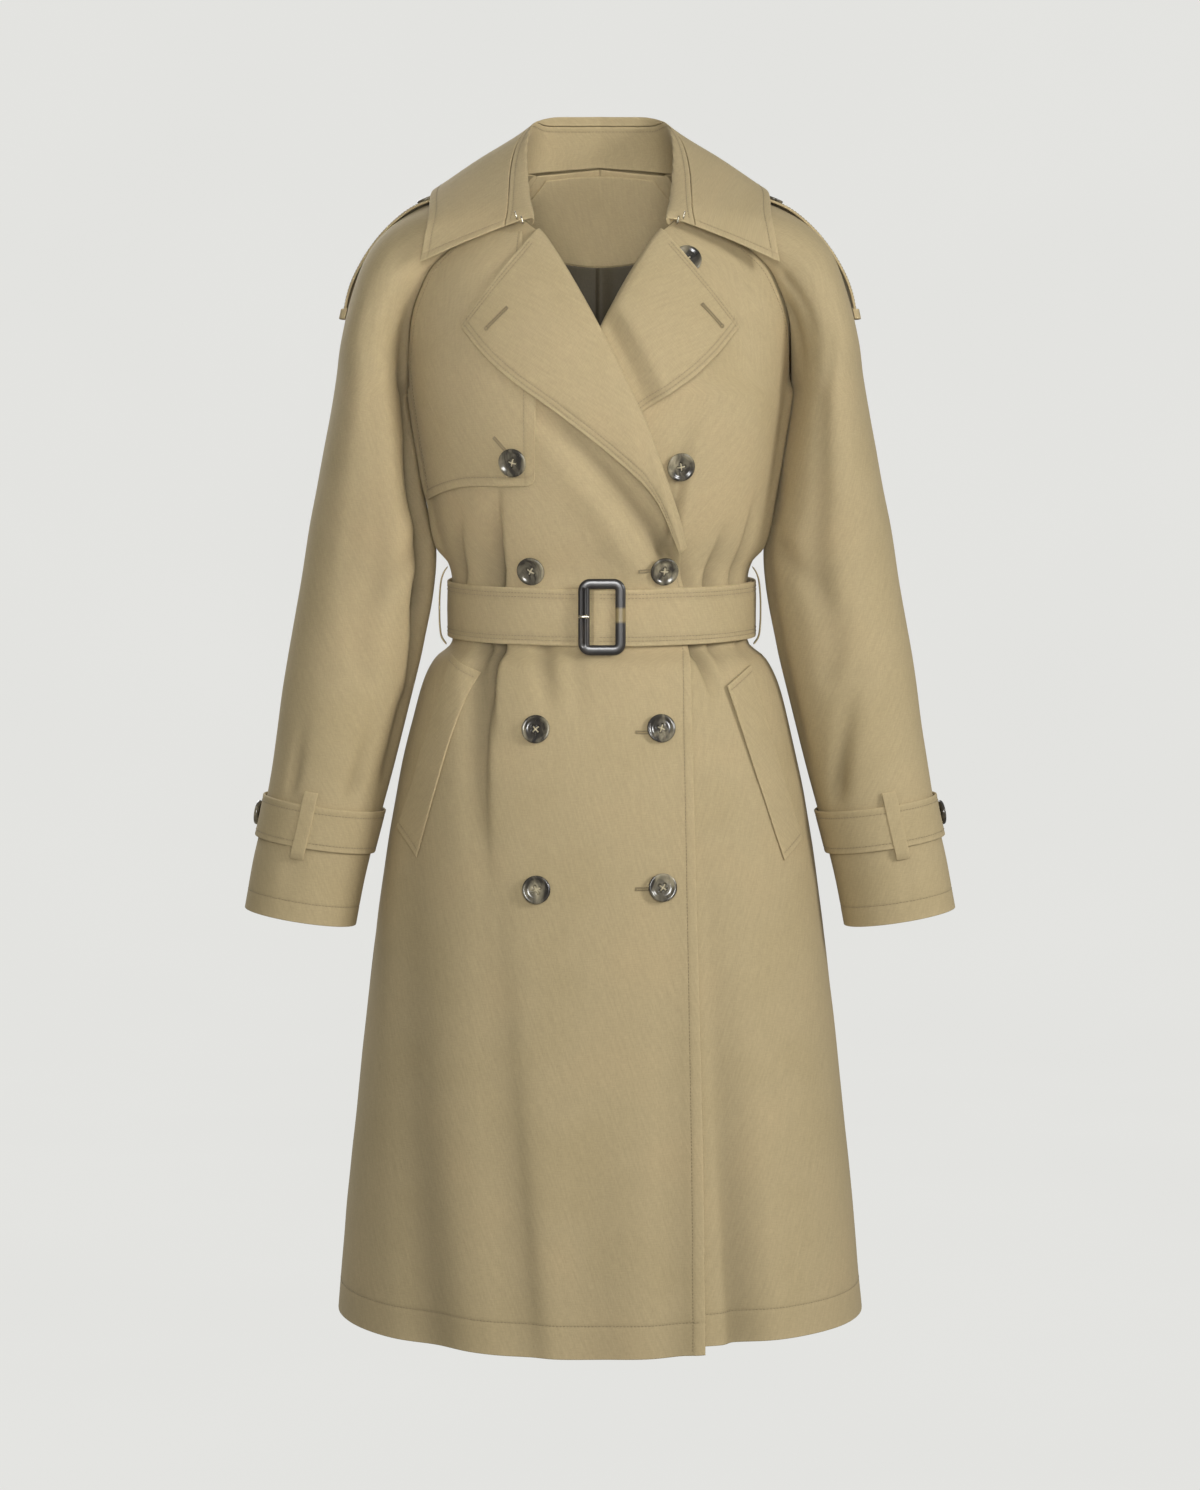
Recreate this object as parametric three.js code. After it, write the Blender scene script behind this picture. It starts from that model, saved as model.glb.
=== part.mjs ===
// A belted, double-breasted trench coat, filled out as if worn, with raglan sleeves.
// Millimetres, +Z up, the front faces -Y, and the wearer's left is +X.
// The origin is at the nape, level with the seam between back and collar.
import * as THREE from 'three';

// Driving dimensions

const CLOTH = 1.6;              // wall of one cloth panel
const DOUBLED = 2.2;            // wall of a strap or collar made of two layers
const SEAM_GAP = 0.3;           // room between two pieces that are sewn together
const HEM_SIDE = -1032;         // height of the hem at the side seams
const HEM_DIP = 12;             // how much lower the outer front hangs in the middle
const UNDER_HEM_DIP = 3;        // the same for the front beneath, which is cut shorter
const ARMPIT = -205;            // height of the lowest point of the armhole
const NECK_BACK = 0;            // height of the neck seam at the centre back
const SQUARENESS = 2.3;         // exponent of the body's rounded sections
const BELT_TOP = -370;
const BELT_WIDTH = 50;
const BELT_STANDOFF = 1.6;      // room between the coat and the belt
const BUTTON_RADIUS = 12.5;       // the buttons on the body
const BUTTON_THICKNESS = 4;
const BUCKLE = { width: 41.5, height: 67, bar: 9, corner: 10, thickness: 4.5, bevel: 1.2, x: 1.7, y: -107.4, z: -398 };
const EPAULETTE_BUTTON = { x: 155.5, z: -29.7, slope: 0.374, radius: 8.5, thickness: 2.8 };
const CUFF_BUTTON = { around: -0.06, radius: 11 };
const LAP_ROOM = 0.8;           // room between the belt and its end lapped over it
const PRONG = { radius: 1.3, length: 9, x: -14, z: -397.5 };
const CUFF_STRAP = { low: 0.103, high: 0.156, out: 3.4, reach: 0.996, loopFrom: 0.4, loopTo: 0.475 };
const FACING_HEM = -87;         // lower edge of the back neck facing at the middle
const LINING_HEM = -262;

// Body sections from hem to shoulder: half width, and depth to the front and back
const SECTIONS = [
  { z: -1040, half: 240, front: 172, back: 166 },
  { z: -940, half: 231, front: 166, back: 160 },
  { z: -845, half: 221, front: 160, back: 153 },
  { z: -750, half: 211, front: 153, back: 146 },
  { z: -660, half: 200, front: 146, back: 140 },
  { z: -605, half: 192, front: 141, back: 136 },
  { z: -550, half: 182, front: 136, back: 131 },
  { z: -497, half: 170, front: 128, back: 123 },
  { z: -460, half: 159.5, front: 119, back: 113 },
  { z: -440, half: 149, front: 112, back: 106 },
  { z: -427, half: 134.5, front: 101, back: 94 },
  { z: -396, half: 133.5, front: 100, back: 93 },
  { z: -363, half: 134.5, front: 101, back: 93.5 },
  { z: -335, half: 146, front: 110, back: 99 },
  { z: -298, half: 154, front: 120, back: 106 },
  { z: -254, half: 161, front: 129, back: 112 },
  { z: -209, half: 168, front: 132, back: 115 },
  { z: -160, half: 174, front: 127, back: 114 },
  { z: -130, half: 178, front: 121, back: 112 },
  { z: -100, half: 176, front: 111, back: 108 },
  { z: -78, half: 170, front: 102, back: 103 },
  { z: -60, half: 162, front: 92, back: 98 },
  { z: -40, half: 150, front: 80, back: 90 },
  { z: -20, half: 130, front: 68, back: 80 },
  { z: 0, half: 100, front: 54, back: 71 },
];

// Raglan seam on the front and on the back: angle from the middle at each height
const FRONT_ARMHOLE = [
  { z: -205, angle: 90 }, { z: -190, angle: 82.5 }, { z: -161, angle: 76.8 },
  { z: -132, angle: 71.6 }, { z: -113, angle: 68.6 }, { z: -94, angle: 65.9 },
  { z: -78, angle: 61.3 }, { z: -60, angle: 56.4 }, { z: -38, angle: 51 },
];
const BACK_ARMHOLE = [
  { z: -205, angle: 90 }, { z: -190, angle: 81 }, { z: -163, angle: 71.5 },
  { z: -135, angle: 65.8 }, { z: -112, angle: 62 }, { z: -88, angle: 57.4 },
  { z: -63, angle: 51.5 }, { z: -36, angle: 46 }, { z: -6, angle: 41.6 },
];

// Edge of the outer front: the roll line of the lapel above the break, then the front edge
const FRONT_EDGE = [
  { z: -1046, x: 92.5 }, { z: -890, x: 91 }, { z: -660, x: 85.6 }, { z: -520, x: 82 },
  { z: -420, x: 79 }, { z: -370, x: 76 }, { z: -343, x: 72 }, { z: -317, x: 66 },
  { z: -295, x: 59 }, { z: -235, x: 39 }, { z: -196, x: 21 }, { z: -161.6, x: 4.3 },
  { z: -106, x: -26 }, { z: -71.5, x: -47.4 }, { z: -60, x: -57 },
];

// Lapel: roll line and outer edge at stations from the gorge down to the break
const LAPEL = [
  { at: 0, rollZ: -63, edgeX: -118.4, edgeZ: -144 },
  { at: 0.25, rollZ: -106, edgeX: -86.5, edgeZ: -181.4 },
  { at: 0.5, rollZ: -161.6, edgeX: -34.6, edgeZ: -222 },
  { at: 0.75, rollZ: -222, edgeX: 17.3, edgeZ: -265 },
  { at: 0.9, rollZ: -290, edgeX: 47.7, edgeZ: -299 },
  { at: 1, rollZ: -340, edgeX: 66.5, edgeZ: -343.5 },
];

// Sleeve sections from cuff to neck. Below the armpit the inner line is the underarm seam;
// above it the two raglan seams take its place, at the heights given for front and back.
const SLEEVE = [
  { at: 0.00, innerX: 219.4, innerZ: -679.5, ridgeX: 320, ridgeZ: -663, y: -28, deep: 47 },
  { at: 0.07, innerX: 211, innerZ: -636, ridgeX: 312, ridgeZ: -620, y: -24, deep: 49 },
  { at: 0.14, innerX: 199, innerZ: -588, ridgeX: 301.5, ridgeZ: -573, y: -19, deep: 53 },
  { at: 0.21, innerX: 184.5, innerZ: -534, ridgeX: 293, ridgeZ: -520, y: -13, deep: 57 },
  { at: 0.28, innerX: 171, innerZ: -480, ridgeX: 285.5, ridgeZ: -466, y: -8, deep: 60 },
  { at: 0.35, innerX: 158, innerZ: -426, ridgeX: 276.5, ridgeZ: -412, y: -4, deep: 63 },
  { at: 0.41, innerX: 149, innerZ: -376, ridgeX: 268, ridgeZ: -362, y: -1, deep: 67 },
  { at: 0.46, innerX: 147.4, innerZ: -338, ridgeX: 262, ridgeZ: -325, y: 0, deep: 72 },
  { at: 0.51, innerX: 156.2, innerZ: -300, ridgeX: 255, ridgeZ: -290, y: 0, deep: 77 },
  { at: 0.57, innerX: 162.8, innerZ: -254, ridgeX: 247.5, ridgeZ: -250, y: 0, deep: 81 },
  { at: 0.63, innerX: 170, innerZ: -209, ridgeX: 239.4, ridgeZ: -209, y: 0, deep: 84 },
];
const SLEEVE_HEAD = [
  { at: 0.63, frontZ: -205, backZ: -205, ridgeX: 239.4, ridgeZ: -209, deep: 84 },
  { at: 0.67, frontZ: -190, backZ: -190, ridgeX: 235, ridgeZ: -185, deep: 85 },
  { at: 0.72, frontZ: -161, backZ: -163, ridgeX: 229.5, ridgeZ: -156, deep: 85 },
  { at: 0.77, frontZ: -132, backZ: -135, ridgeX: 220, ridgeZ: -117, deep: 83 },
  { at: 0.82, frontZ: -113, backZ: -112, ridgeX: 207.5, ridgeZ: -83, deep: 82 },
  { at: 0.87, frontZ: -94, backZ: -88, ridgeX: 189, ridgeZ: -58, deep: 79.5 },
  { at: 0.91, frontZ: -78, backZ: -63, ridgeX: 164, ridgeZ: -40, deep: 79.5 },
  { at: 0.95, frontZ: -60, backZ: -36, ridgeX: 128, ridgeZ: -26, deep: 79.5 },
  { at: 1.00, frontZ: -38, backZ: -6, ridgeX: 78, ridgeZ: -15, deep: 70 },
];

// Collar from the centre back to the front end: neck seam, fold at the top, and leaf edge
const COLLAR = [
  { at: 0, neckX: 0, neckY: 71, neckZ: 1, foldX: 0, foldY: 58, foldZ: 45, leafX: 0, leafY: 100, leafZ: -32 },
  { at: 0.3, neckX: 56, neckY: 63, neckZ: -4, foldX: 48, foldY: 46, foldZ: 42, leafX: 95, leafY: 90, leafZ: -28 },
  { at: 0.58, neckX: 79, neckY: 2, neckZ: -12, foldX: 62, foldY: 4, foldZ: 24, leafX: 146, leafY: 8, leafZ: -20 },
  { at: 0.82, neckX: 84, neckY: -68, neckZ: -34, foldX: 62, foldY: -66, foldZ: -32, leafX: 151, leafY: -70, leafZ: -51 },
  { at: 1, neckX: 59, neckY: -92, neckZ: -57, foldX: 56, foldY: -98, foldZ: -55, leafX: 157, leafY: -93, leafZ: -89 },
];

// Pocket welts: their four corners as x and z on the front, and how far out they lie
const WELTS = {
  right: { topOuter: [-131, -433], topFront: [-113, -448], lowOuter: [-181, -588], lowFront: [-164, -612], out: 3.2 },
  left: { topOuter: [133, -442], topFront: [111, -459], lowOuter: [179, -598], lowFront: [162, -614], out: 2.3 },
};

const BODY_BUTTONS = [
  { name: 'button_flap', x: -74.5, z: -262.5, standoff: 3.35 },
  { name: 'button_right_top', x: -59.9, z: -357.7, standoff: 1 },
  { name: 'button_right_middle', x: -55.7, z: -495.3, standoff: 0.05 },
  { name: 'button_right_low', x: -55.1, z: -634, standoff: 0.3 },
  { name: 'button_left_chest', x: 72.5, z: -268.5, standoff: -8.45 },
  { name: 'button_left_top', x: 55.6, z: -357.7, standoff: 1.5 },
  { name: 'button_left_middle', x: 53.1, z: -494.5, standoff: 0.15 },
  { name: 'button_left_low', x: 54.2, z: -632, standoff: 1 },
  { name: 'button_collar', x: 76, z: -87, standoff: -1.4 },
];

// Folds that the belt gathers: where each starts and ends, its half width and its depth
const FOLDS = [
  { x0: -90, z0: -290, x1: -90, z1: -385, wide: 9, deep: 8 },
  { x0: -120, z0: -305, x1: -119, z1: -385, wide: 8, deep: 4 },
  { x0: 103, z0: -295, x1: 99, z1: -385, wide: 8, deep: 5 },
  { x0: 120, z0: -310, x1: 118, z1: -385, wide: 8, deep: 5 },
  { x0: -89, z0: -410, x1: -96, z1: -640, wide: 11, deep: 9 },
  { x0: -118, z0: -410, x1: -140, z1: -520, wide: 9, deep: 6 },
  { x0: -54, z0: -410, x1: -36, z1: -500, wide: 9, deep: 5 },
  { x0: 84, z0: -410, x1: 104, z1: -520, wide: 9, deep: 6 },
  { x0: 120, z0: -410, x1: 146, z1: -530, wide: 9, deep: 6 },
  { x0: -150, z0: -700, x1: -165, z1: -1060, wide: 30, deep: 5 },
  { x0: -40, z0: -760, x1: -48, z1: -1060, wide: 32, deep: 4 },
  { x0: 140, z0: -640, x1: 150, z1: -1060, wide: 26, deep: 6 },
];
const BACK_FOLDS = [
  { x0: -44, z0: -280, x1: -40, z1: -385, wide: 9, deep: 6 },
  { x0: 50, z0: -300, x1: 44, z1: -385, wide: 9, deep: 6 },
  { x0: -96, z0: -300, x1: -90, z1: -385, wide: 9, deep: 7 },
  { x0: 98, z0: -285, x1: 92, z1: -385, wide: 9, deep: 7 },
  { x0: -42, z0: -410, x1: -64, z1: -600, wide: 11, deep: 8 },
  { x0: 46, z0: -410, x1: 60, z1: -560, wide: 11, deep: 8 },
  { x0: -92, z0: -410, x1: -122, z1: -540, wide: 10, deep: 7 },
  { x0: 94, z0: -410, x1: 126, z1: -590, wide: 10, deep: 7 },
  { x0: -90, z0: -680, x1: -104, z1: -1060, wide: 34, deep: 6 },
  { x0: 84, z0: -720, x1: 96, z1: -1060, wide: 34, deep: 6 },
];

// Materials

const gabardine = (color) => new THREE.MeshStandardMaterial({ color, roughness: 0.85, metalness: 0 });
const FRONT_CLOTH = gabardine(0xa8997a);
const SLEEVE_CLOTH = gabardine(0xa49474);
const TRIM_CLOTH = gabardine(0x9c8d6a);
const LINING = new THREE.MeshStandardMaterial({ color: 0x5a5140, roughness: 0.5, metalness: 0 });
const HORN = new THREE.MeshStandardMaterial({ color: 0x4c443a, roughness: 0.3, metalness: 0 });
const METAL = new THREE.MeshStandardMaterial({ color: 0xcfc5a8, roughness: 0.3, metalness: 1 });

// Small helpers

const coat = new THREE.Group();
const radians = THREE.MathUtils.degToRad;
const lerp = THREE.MathUtils.lerp;
const smooth = (from, to, value) => {
  const t = THREE.MathUtils.clamp((value - from) / (to - from), 0, 1);
  return t * t * (3 - 2 * t);
};
const steps = (count) => Array.from({ length: count }, (_, i) => i / (count - 1));

// Smooth value of one column of a table at a place along its key column
function read(table, key, place, column) {
  const last = table.length - 1;
  const rising = table[last][key] > table[0][key];
  let i = 0;
  while (i < last - 1 && (rising ? place > table[i + 1][key] : place < table[i + 1][key])) i += 1;
  const slopeAt = (k) => {
    const before = table[Math.max(k - 1, 0)];
    const after = table[Math.min(k + 1, last)];
    return (after[column] - before[column]) / (after[key] - before[key]);
  };
  const span = table[i + 1][key] - table[i][key];
  const t = THREE.MathUtils.clamp((place - table[i][key]) / span, 0, 1);
  const rise = table[i + 1][column] - table[i][column];
  const start = slopeAt(i) * span;
  const end = slopeAt(i + 1) * span;
  return table[i][column] + t * start
    + t * t * (3 * rise - 2 * start - end) + t * t * t * (start + end - 2 * rise);
}

// Body surface, by angle from the middle of the front (positive towards +X) and height

function section(z) {
  return {
    half: read(SECTIONS, 'z', z, 'half'),
    front: read(SECTIONS, 'z', z, 'front'),
    back: read(SECTIONS, 'z', z, 'back'),
  };
}

function radiusAt(angle, z) {
  const { half, front, back } = section(z);
  const depth = Math.cos(angle) > 0 ? front : back;
  return (Math.abs(Math.sin(angle) / half) ** SQUARENESS
    + Math.abs(Math.cos(angle) / depth) ** SQUARENESS) ** (-1 / SQUARENESS);
}

// Angle on the front (or the back) at which the body surface has a given x
function angleAt(x, z, onBack = false) {
  const { half, front, back } = section(z);
  const share = Math.min(Math.abs(x) / half, 0.9999);
  const y = (onBack ? -back : front) * (1 - share ** SQUARENESS) ** (1 / SQUARENESS);
  return Math.atan2(x, y);
}

// Shares of a fold's length: how far it runs on past its ends, and where it fades
// below the belt, grows again into the hem's fullness, and grows towards the belt from above
const FADE = { past: 0.3, fromBelt: [0.1, 1.1], toHem: [0.2, 0.8], toBelt: [-0.1, 0.8] };

function foldDepth(angle, z) {
  const onBack = Math.cos(angle) < 0;
  let depth = 0;
  for (const fold of onBack ? BACK_FOLDS : FOLDS) {
    const length = fold.z0 - fold.z1;
    const along = (fold.z0 - z) / length;
    if (along < -FADE.past || along > 1 + FADE.past) continue;
    const middle = lerp(angleAt(fold.x0, fold.z0, onBack), angleAt(fold.x1, fold.z1, onBack), along);
    const turn = Math.atan2(Math.sin(angle - middle), Math.cos(angle - middle));
    const away = turn * radiusAt(angle, z) / fold.wide;
    const fromBelt = 1 - smooth(...FADE.fromBelt, along);
    const toHem = fold.z1 < HEM_SIDE ? smooth(...FADE.toHem, along) : 0;
    const strength = fold.z0 < BELT_TOP ? fromBelt + toHem : smooth(...FADE.toBelt, along);
    depth += fold.deep * Math.min(strength, 1) * Math.exp(-away * away);
  }
  return depth;
}

// Point of the smooth body moved out by a distance
function hull(angle, z, out = 0) {
  const r = radiusAt(angle, z) + out;
  return new THREE.Vector3(r * Math.sin(angle), -r * Math.cos(angle), z);
}

// The same with the gathered folds pressed in
const folded = (angle, z, out = 0) => hull(angle, z, out - foldDepth(angle, z));

// Direction out of the smooth body
function outward(angle, z) {
  const across = hull(angle + 0.01, z).sub(hull(angle - 0.01, z));
  const up = hull(angle, z + 1).sub(hull(angle, z - 1));
  return across.cross(up).normalize();
}

// A closed wall over a grid of points: point(u, v) is its outer face

function wall(us, vs, point, thickness, side = 1) {
  const nu = us.length;
  const nv = vs.length;
  const outer = [];
  for (const v of vs) for (const u of us) outer.push(point(u, v));
  const cell = (i, j) => outer[j * nu + i];
  const inner = outer.map((p, k) => {
    const i = k % nu;
    const j = Math.floor(k / nu);
    const du = cell(Math.min(i + 1, nu - 1), j).clone().sub(cell(Math.max(i - 1, 0), j));
    const dv = cell(i, Math.min(j + 1, nv - 1)).clone().sub(cell(i, Math.max(j - 1, 0)));
    return p.clone().addScaledVector(du.cross(dv).normalize(), -side * thickness);
  });
  const positions = [...outer, ...inner].flatMap((p) => [p.x, p.y, p.z]);
  const faces = [];
  const quad = (a, b, c, d) => faces.push(a, b, c, a, c, d);
  const back = nu * nv;
  for (let j = 0; j < nv - 1; j += 1) {
    for (let i = 0; i < nu - 1; i += 1) {
      const a = j * nu + i;
      quad(a, a + 1, a + nu + 1, a + nu);
      faces.push(back + a, back + a + nu + 1, back + a + 1, back + a, back + a + nu, back + a + nu + 1);
    }
  }
  const rim = [];
  for (let i = 0; i < nu; i += 1) rim.push(i);
  for (let j = 1; j < nv; j += 1) rim.push(j * nu + nu - 1);
  for (let i = nu - 2; i >= 0; i -= 1) rim.push((nv - 1) * nu + i);
  for (let j = nv - 2; j > 0; j -= 1) rim.push(j * nu);
  rim.forEach((a, k) => {
    const b = rim[(k + 1) % rim.length];
    quad(b, a, back + a, back + b);
  });
  return facingOut(positions, faces);
}

// Geometry whose faces point out of the solid
function facingOut(positions, faces) {
  const corner = (k) => new THREE.Vector3(...positions.slice(3 * k, 3 * k + 3));
  let volume = 0;
  for (let k = 0; k < faces.length; k += 3) {
    const [a, b, c] = [corner(faces[k]), corner(faces[k + 1]), corner(faces[k + 2])];
    volume += a.dot(b.cross(c));
  }
  if (volume < 0) {
    for (let k = 0; k < faces.length; k += 3) [faces[k], faces[k + 1]] = [faces[k + 1], faces[k]];
  }
  const geometry = new THREE.BufferGeometry();
  geometry.setAttribute('position', new THREE.Float32BufferAttribute(positions, 3));
  geometry.setIndex(faces);
  return geometry;
}

function add(name, geometry, material) {
  const mesh = new THREE.Mesh(geometry, material);
  mesh.name = name;
  coat.add(mesh);
  return mesh;
}

// Body panels

// Rows from the hem up, closer together where the belt gathers the cloth
// and level with the sleeve's sections above the armpit
function bodyRows(hem, headColumn) {
  const bands = [
    { from: hem, to: -560, count: 5 }, { from: -560, to: -427, count: 5 },
    { from: -427, to: -363, count: 3 }, { from: -363, to: ARMPIT, count: 6 },
  ];
  const rows = bands.flatMap(({ from, to, count }) => steps(count + 1).slice(0, -1).map((t) => lerp(from, to, t)));
  return [...rows, ...SLEEVE_HEAD.map((row) => row[headColumn])];
}

const armholeAngle = (table, z) => radians(z < ARMPIT ? 90 : read(table, 'z', z, 'angle'));

// The front beneath: its reach past the middle, where across the chest it starts to sink and is
// sunk, how deep below the belt and above it, and the heights between which that depth changes
const UNDERLAP = {
  reach: 78, sinkFrom: 150, sinkTo: 84, below: 4.5, above: 9, neck: [-60, -125], waist: [-400, -320],
};

// How far the front beneath lies inside the smooth body
function underDepth(x, z) {
  const { sinkFrom, sinkTo, below, above, neck, waist } = UNDERLAP;
  return smooth(sinkFrom, sinkTo, x) * lerp(below, above * smooth(...neck, z), smooth(...waist, z));
}

const BODY_RADIUS = 150;
const GAP_ANGLE = (SEAM_GAP / 2) / BODY_RADIUS;      // half a seam gap, as an angle on the body
const BREAK = -343;             // height where the lapel's roll line runs into the front edge
// The front panel's top edge climbs from the gorge to the raglan seam
const GORGE = { from: -80, z: -61, seamZ: -38 };
const DIP_FROM = -900;          // height below which the hem's dip begins

// Front panel, drawn for the wearer's right; side is -1 there and +1 for the mirrored one
function frontPanel(side, dip, reachAt, inside) {
  const vs = bodyRows(HEM_SIDE, 'frontZ');
  return wall(steps(23), vs, (u, v) => {
    const outerAngle = armholeAngle(FRONT_ARMHOLE, v) - GAP_ANGLE * 2;
    const innerZ = v < GORGE.from ? v : lerp(GORGE.from, GORGE.z, smooth(GORGE.from, GORGE.seamZ, v));
    const innerAngle = -angleAt(reachAt(innerZ), innerZ);
    const angle = lerp(outerAngle, innerAngle, u);
    const lowered = dip * Math.cos(angle) ** 2 * smooth(DIP_FROM, HEM_SIDE, v);
    const z = lerp(v, innerZ, u) - lowered;
    const x = hull(angle, z).x;
    return folded(side * angle, z, -inside(x, z));
  }, CLOTH, -side);
}

function frontReach(z) {
  return read(FRONT_EDGE, 'z', z, 'x');
}

function underReach(z) {
  return z < BREAK ? Math.min(frontReach(z), UNDERLAP.reach) : frontReach(z);
}

function backPanel(side) {
  const vs = bodyRows(HEM_SIDE - 1, 'backZ');
  const seamTop = vs[vs.length - 1];
  return wall(steps(12), vs, (u, v) => {
    const outerAngle = armholeAngle(BACK_ARMHOLE, v) - GAP_ANGLE * 2;
    const angle = lerp(outerAngle, GAP_ANGLE * 2, u);
    const middleZ = v > ARMPIT ? lerp(ARMPIT, NECK_BACK, (v - ARMPIT) / (seamTop - ARMPIT)) : v;
    const z = lerp(v, middleZ, u);
    return folded(side * (Math.PI - angle), z);
  }, CLOTH, side);
}

// Sleeve surface: along runs from cuff to neck, around from the back seam to the front seam

function sleeveRing(along) {
  const column = (table, name) => read(table, 'at', along, name);
  if (along <= SLEEVE_HEAD[0].at) {
    const inner = new THREE.Vector3(column(SLEEVE, 'innerX'), column(SLEEVE, 'y'), column(SLEEVE, 'innerZ'));
    return {
      front: inner,
      back: inner,
      ridge: new THREE.Vector3(column(SLEEVE, 'ridgeX'), column(SLEEVE, 'y'), column(SLEEVE, 'ridgeZ')),
      deep: column(SLEEVE, 'deep'),
    };
  }
  const frontZ = column(SLEEVE_HEAD, 'frontZ');
  const backZ = column(SLEEVE_HEAD, 'backZ');
  const blend = smooth(SLEEVE_HEAD[0].at, SLEEVE_HEAD[2].at, along);
  const start = SLEEVE[SLEEVE.length - 1];
  const shift = lerp(start.innerX - section(ARMPIT).half, 0, blend);
  const front = hull(armholeAngle(FRONT_ARMHOLE, frontZ), frontZ, shift);
  const back = hull(Math.PI - armholeAngle(BACK_ARMHOLE, backZ), backZ, shift);
  return {
    front,
    back,
    ridge: new THREE.Vector3(column(SLEEVE_HEAD, 'ridgeX'), 0, column(SLEEVE_HEAD, 'ridgeZ')),
    deep: column(SLEEVE_HEAD, 'deep'),
  };
}

function onSleeve(around, along, out = 0) {
  const { front, back, ridge, deep } = sleeveRing(along);
  const chord = front.clone().sub(back);
  const half = chord.length() / 2;
  const across = half > 0.5 ? chord.clone().normalize() : new THREE.Vector3(0, -1, 0);
  const reach = Math.PI - Math.asin(Math.min(half / deep, 1));
  const middle = front.clone().add(back).multiplyScalar(0.5);
  const rise = ridge.clone().sub(middle).divideScalar(1 - Math.cos(reach));
  const grown = rise.clone().setLength(rise.length() + out);
  const centre = ridge.clone().sub(rise);
  const turn = around * (reach - (SEAM_GAP / 2) / deep);
  return centre.addScaledVector(grown, Math.cos(turn)).addScaledVector(across, Math.sin(turn) * (deep + out));
}

const mirrored = (side, point) => new THREE.Vector3(side * point.x, point.y, point.z);

function sleeve(side) {
  const alongs = [...SLEEVE.map((row) => row.at), ...SLEEVE_HEAD.slice(1).map((row) => row.at)];
  return wall(steps(17), alongs, (u, v) => mirrored(side, onSleeve(lerp(-1, 1, u), v)), CLOTH, -side);
}

// Lapel: the front turned back along its roll line, from roll (u = 0) to outer edge (u = 1)

const LAPEL_TURN = [
  { at: 0, across: 3, turned: 0 }, { at: 0.05, across: 3.2, turned: 0.17 },
  { at: 0.1, across: 4.2, turned: 0.5 }, { at: 0.16, across: 2.6, turned: 0.84 },
  { at: 0.24, across: -2, turned: 1 }, { at: 0.45, across: 0, turned: 1 },
  { at: 0.72, across: 0, turned: 1 }, { at: 1, across: 0, turned: 1 },
];
const LAPEL_LIFT = { roll: 6.4, middle: 7.8, beneath: -4.2, start: 1.6, atBreak: 0.6 };
const ROLL_PART = 0.2;          // share of the lapel's stations that make its rolled edge
const FLAT_FROM = 0.24;         // share from which it lies flat
const FULL_ROLL = 14;           // width of lapel that gives the roll its full size

// Share of the left lapel that lies under the outer front at a place
const UNDER_EDGE = { from: 34, to: 10, top: [-105, -150] };
function beneathOuter(x, z) {
  const edge = frontReach(z);
  return smooth(edge + UNDER_EDGE.from, edge + UNDER_EDGE.to, x) * smooth(...UNDER_EDGE.top, z);
}

function lapel(side, panelDepth, beneath) {
  return wall(LAPEL_TURN.map((row) => row.at), steps(15), (u, v) => {
    const column = (name) => read(LAPEL, 'at', v, name);
    const roll = new THREE.Vector2(frontReach(column('rollZ')), column('rollZ'));
    const edge = new THREE.Vector2(column('edgeX'), column('edgeZ'));
    const away = roll.clone().sub(edge);
    const curl = Math.min(1, away.length() / FULL_ROLL);
    const spread = Math.max(0, (u - FLAT_FROM) / (1 - FLAT_FROM));
    const across = read(LAPEL_TURN, 'at', u, 'across');
    const shift = u < ROLL_PART ? lerp(LAPEL_TURN[0].across, across, curl) : across * curl;
    const place = roll.lerp(edge, spread).addScaledVector(away.normalize(), shift);
    const x = -side * place.x;
    const turned = read(LAPEL_TURN, 'at', u, 'turned');
    const bow = lerp(LAPEL_LIFT.roll, LAPEL_LIFT.middle, Math.sin(Math.PI * spread));
    const top = lerp(bow * lerp(LAPEL_LIFT.atBreak, 1, curl), LAPEL_LIFT.beneath, beneath(x, place.y));
    const start = -panelDepth(x, place.y) - LAPEL_LIFT.start;
    return hull(angleAt(x, place.y), place.y, lerp(start, top, turned));
  }, CLOTH, -side);
}

// Collar: one surface from the neck seam over the fold to the leaf edge, cut at the stand seam

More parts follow.
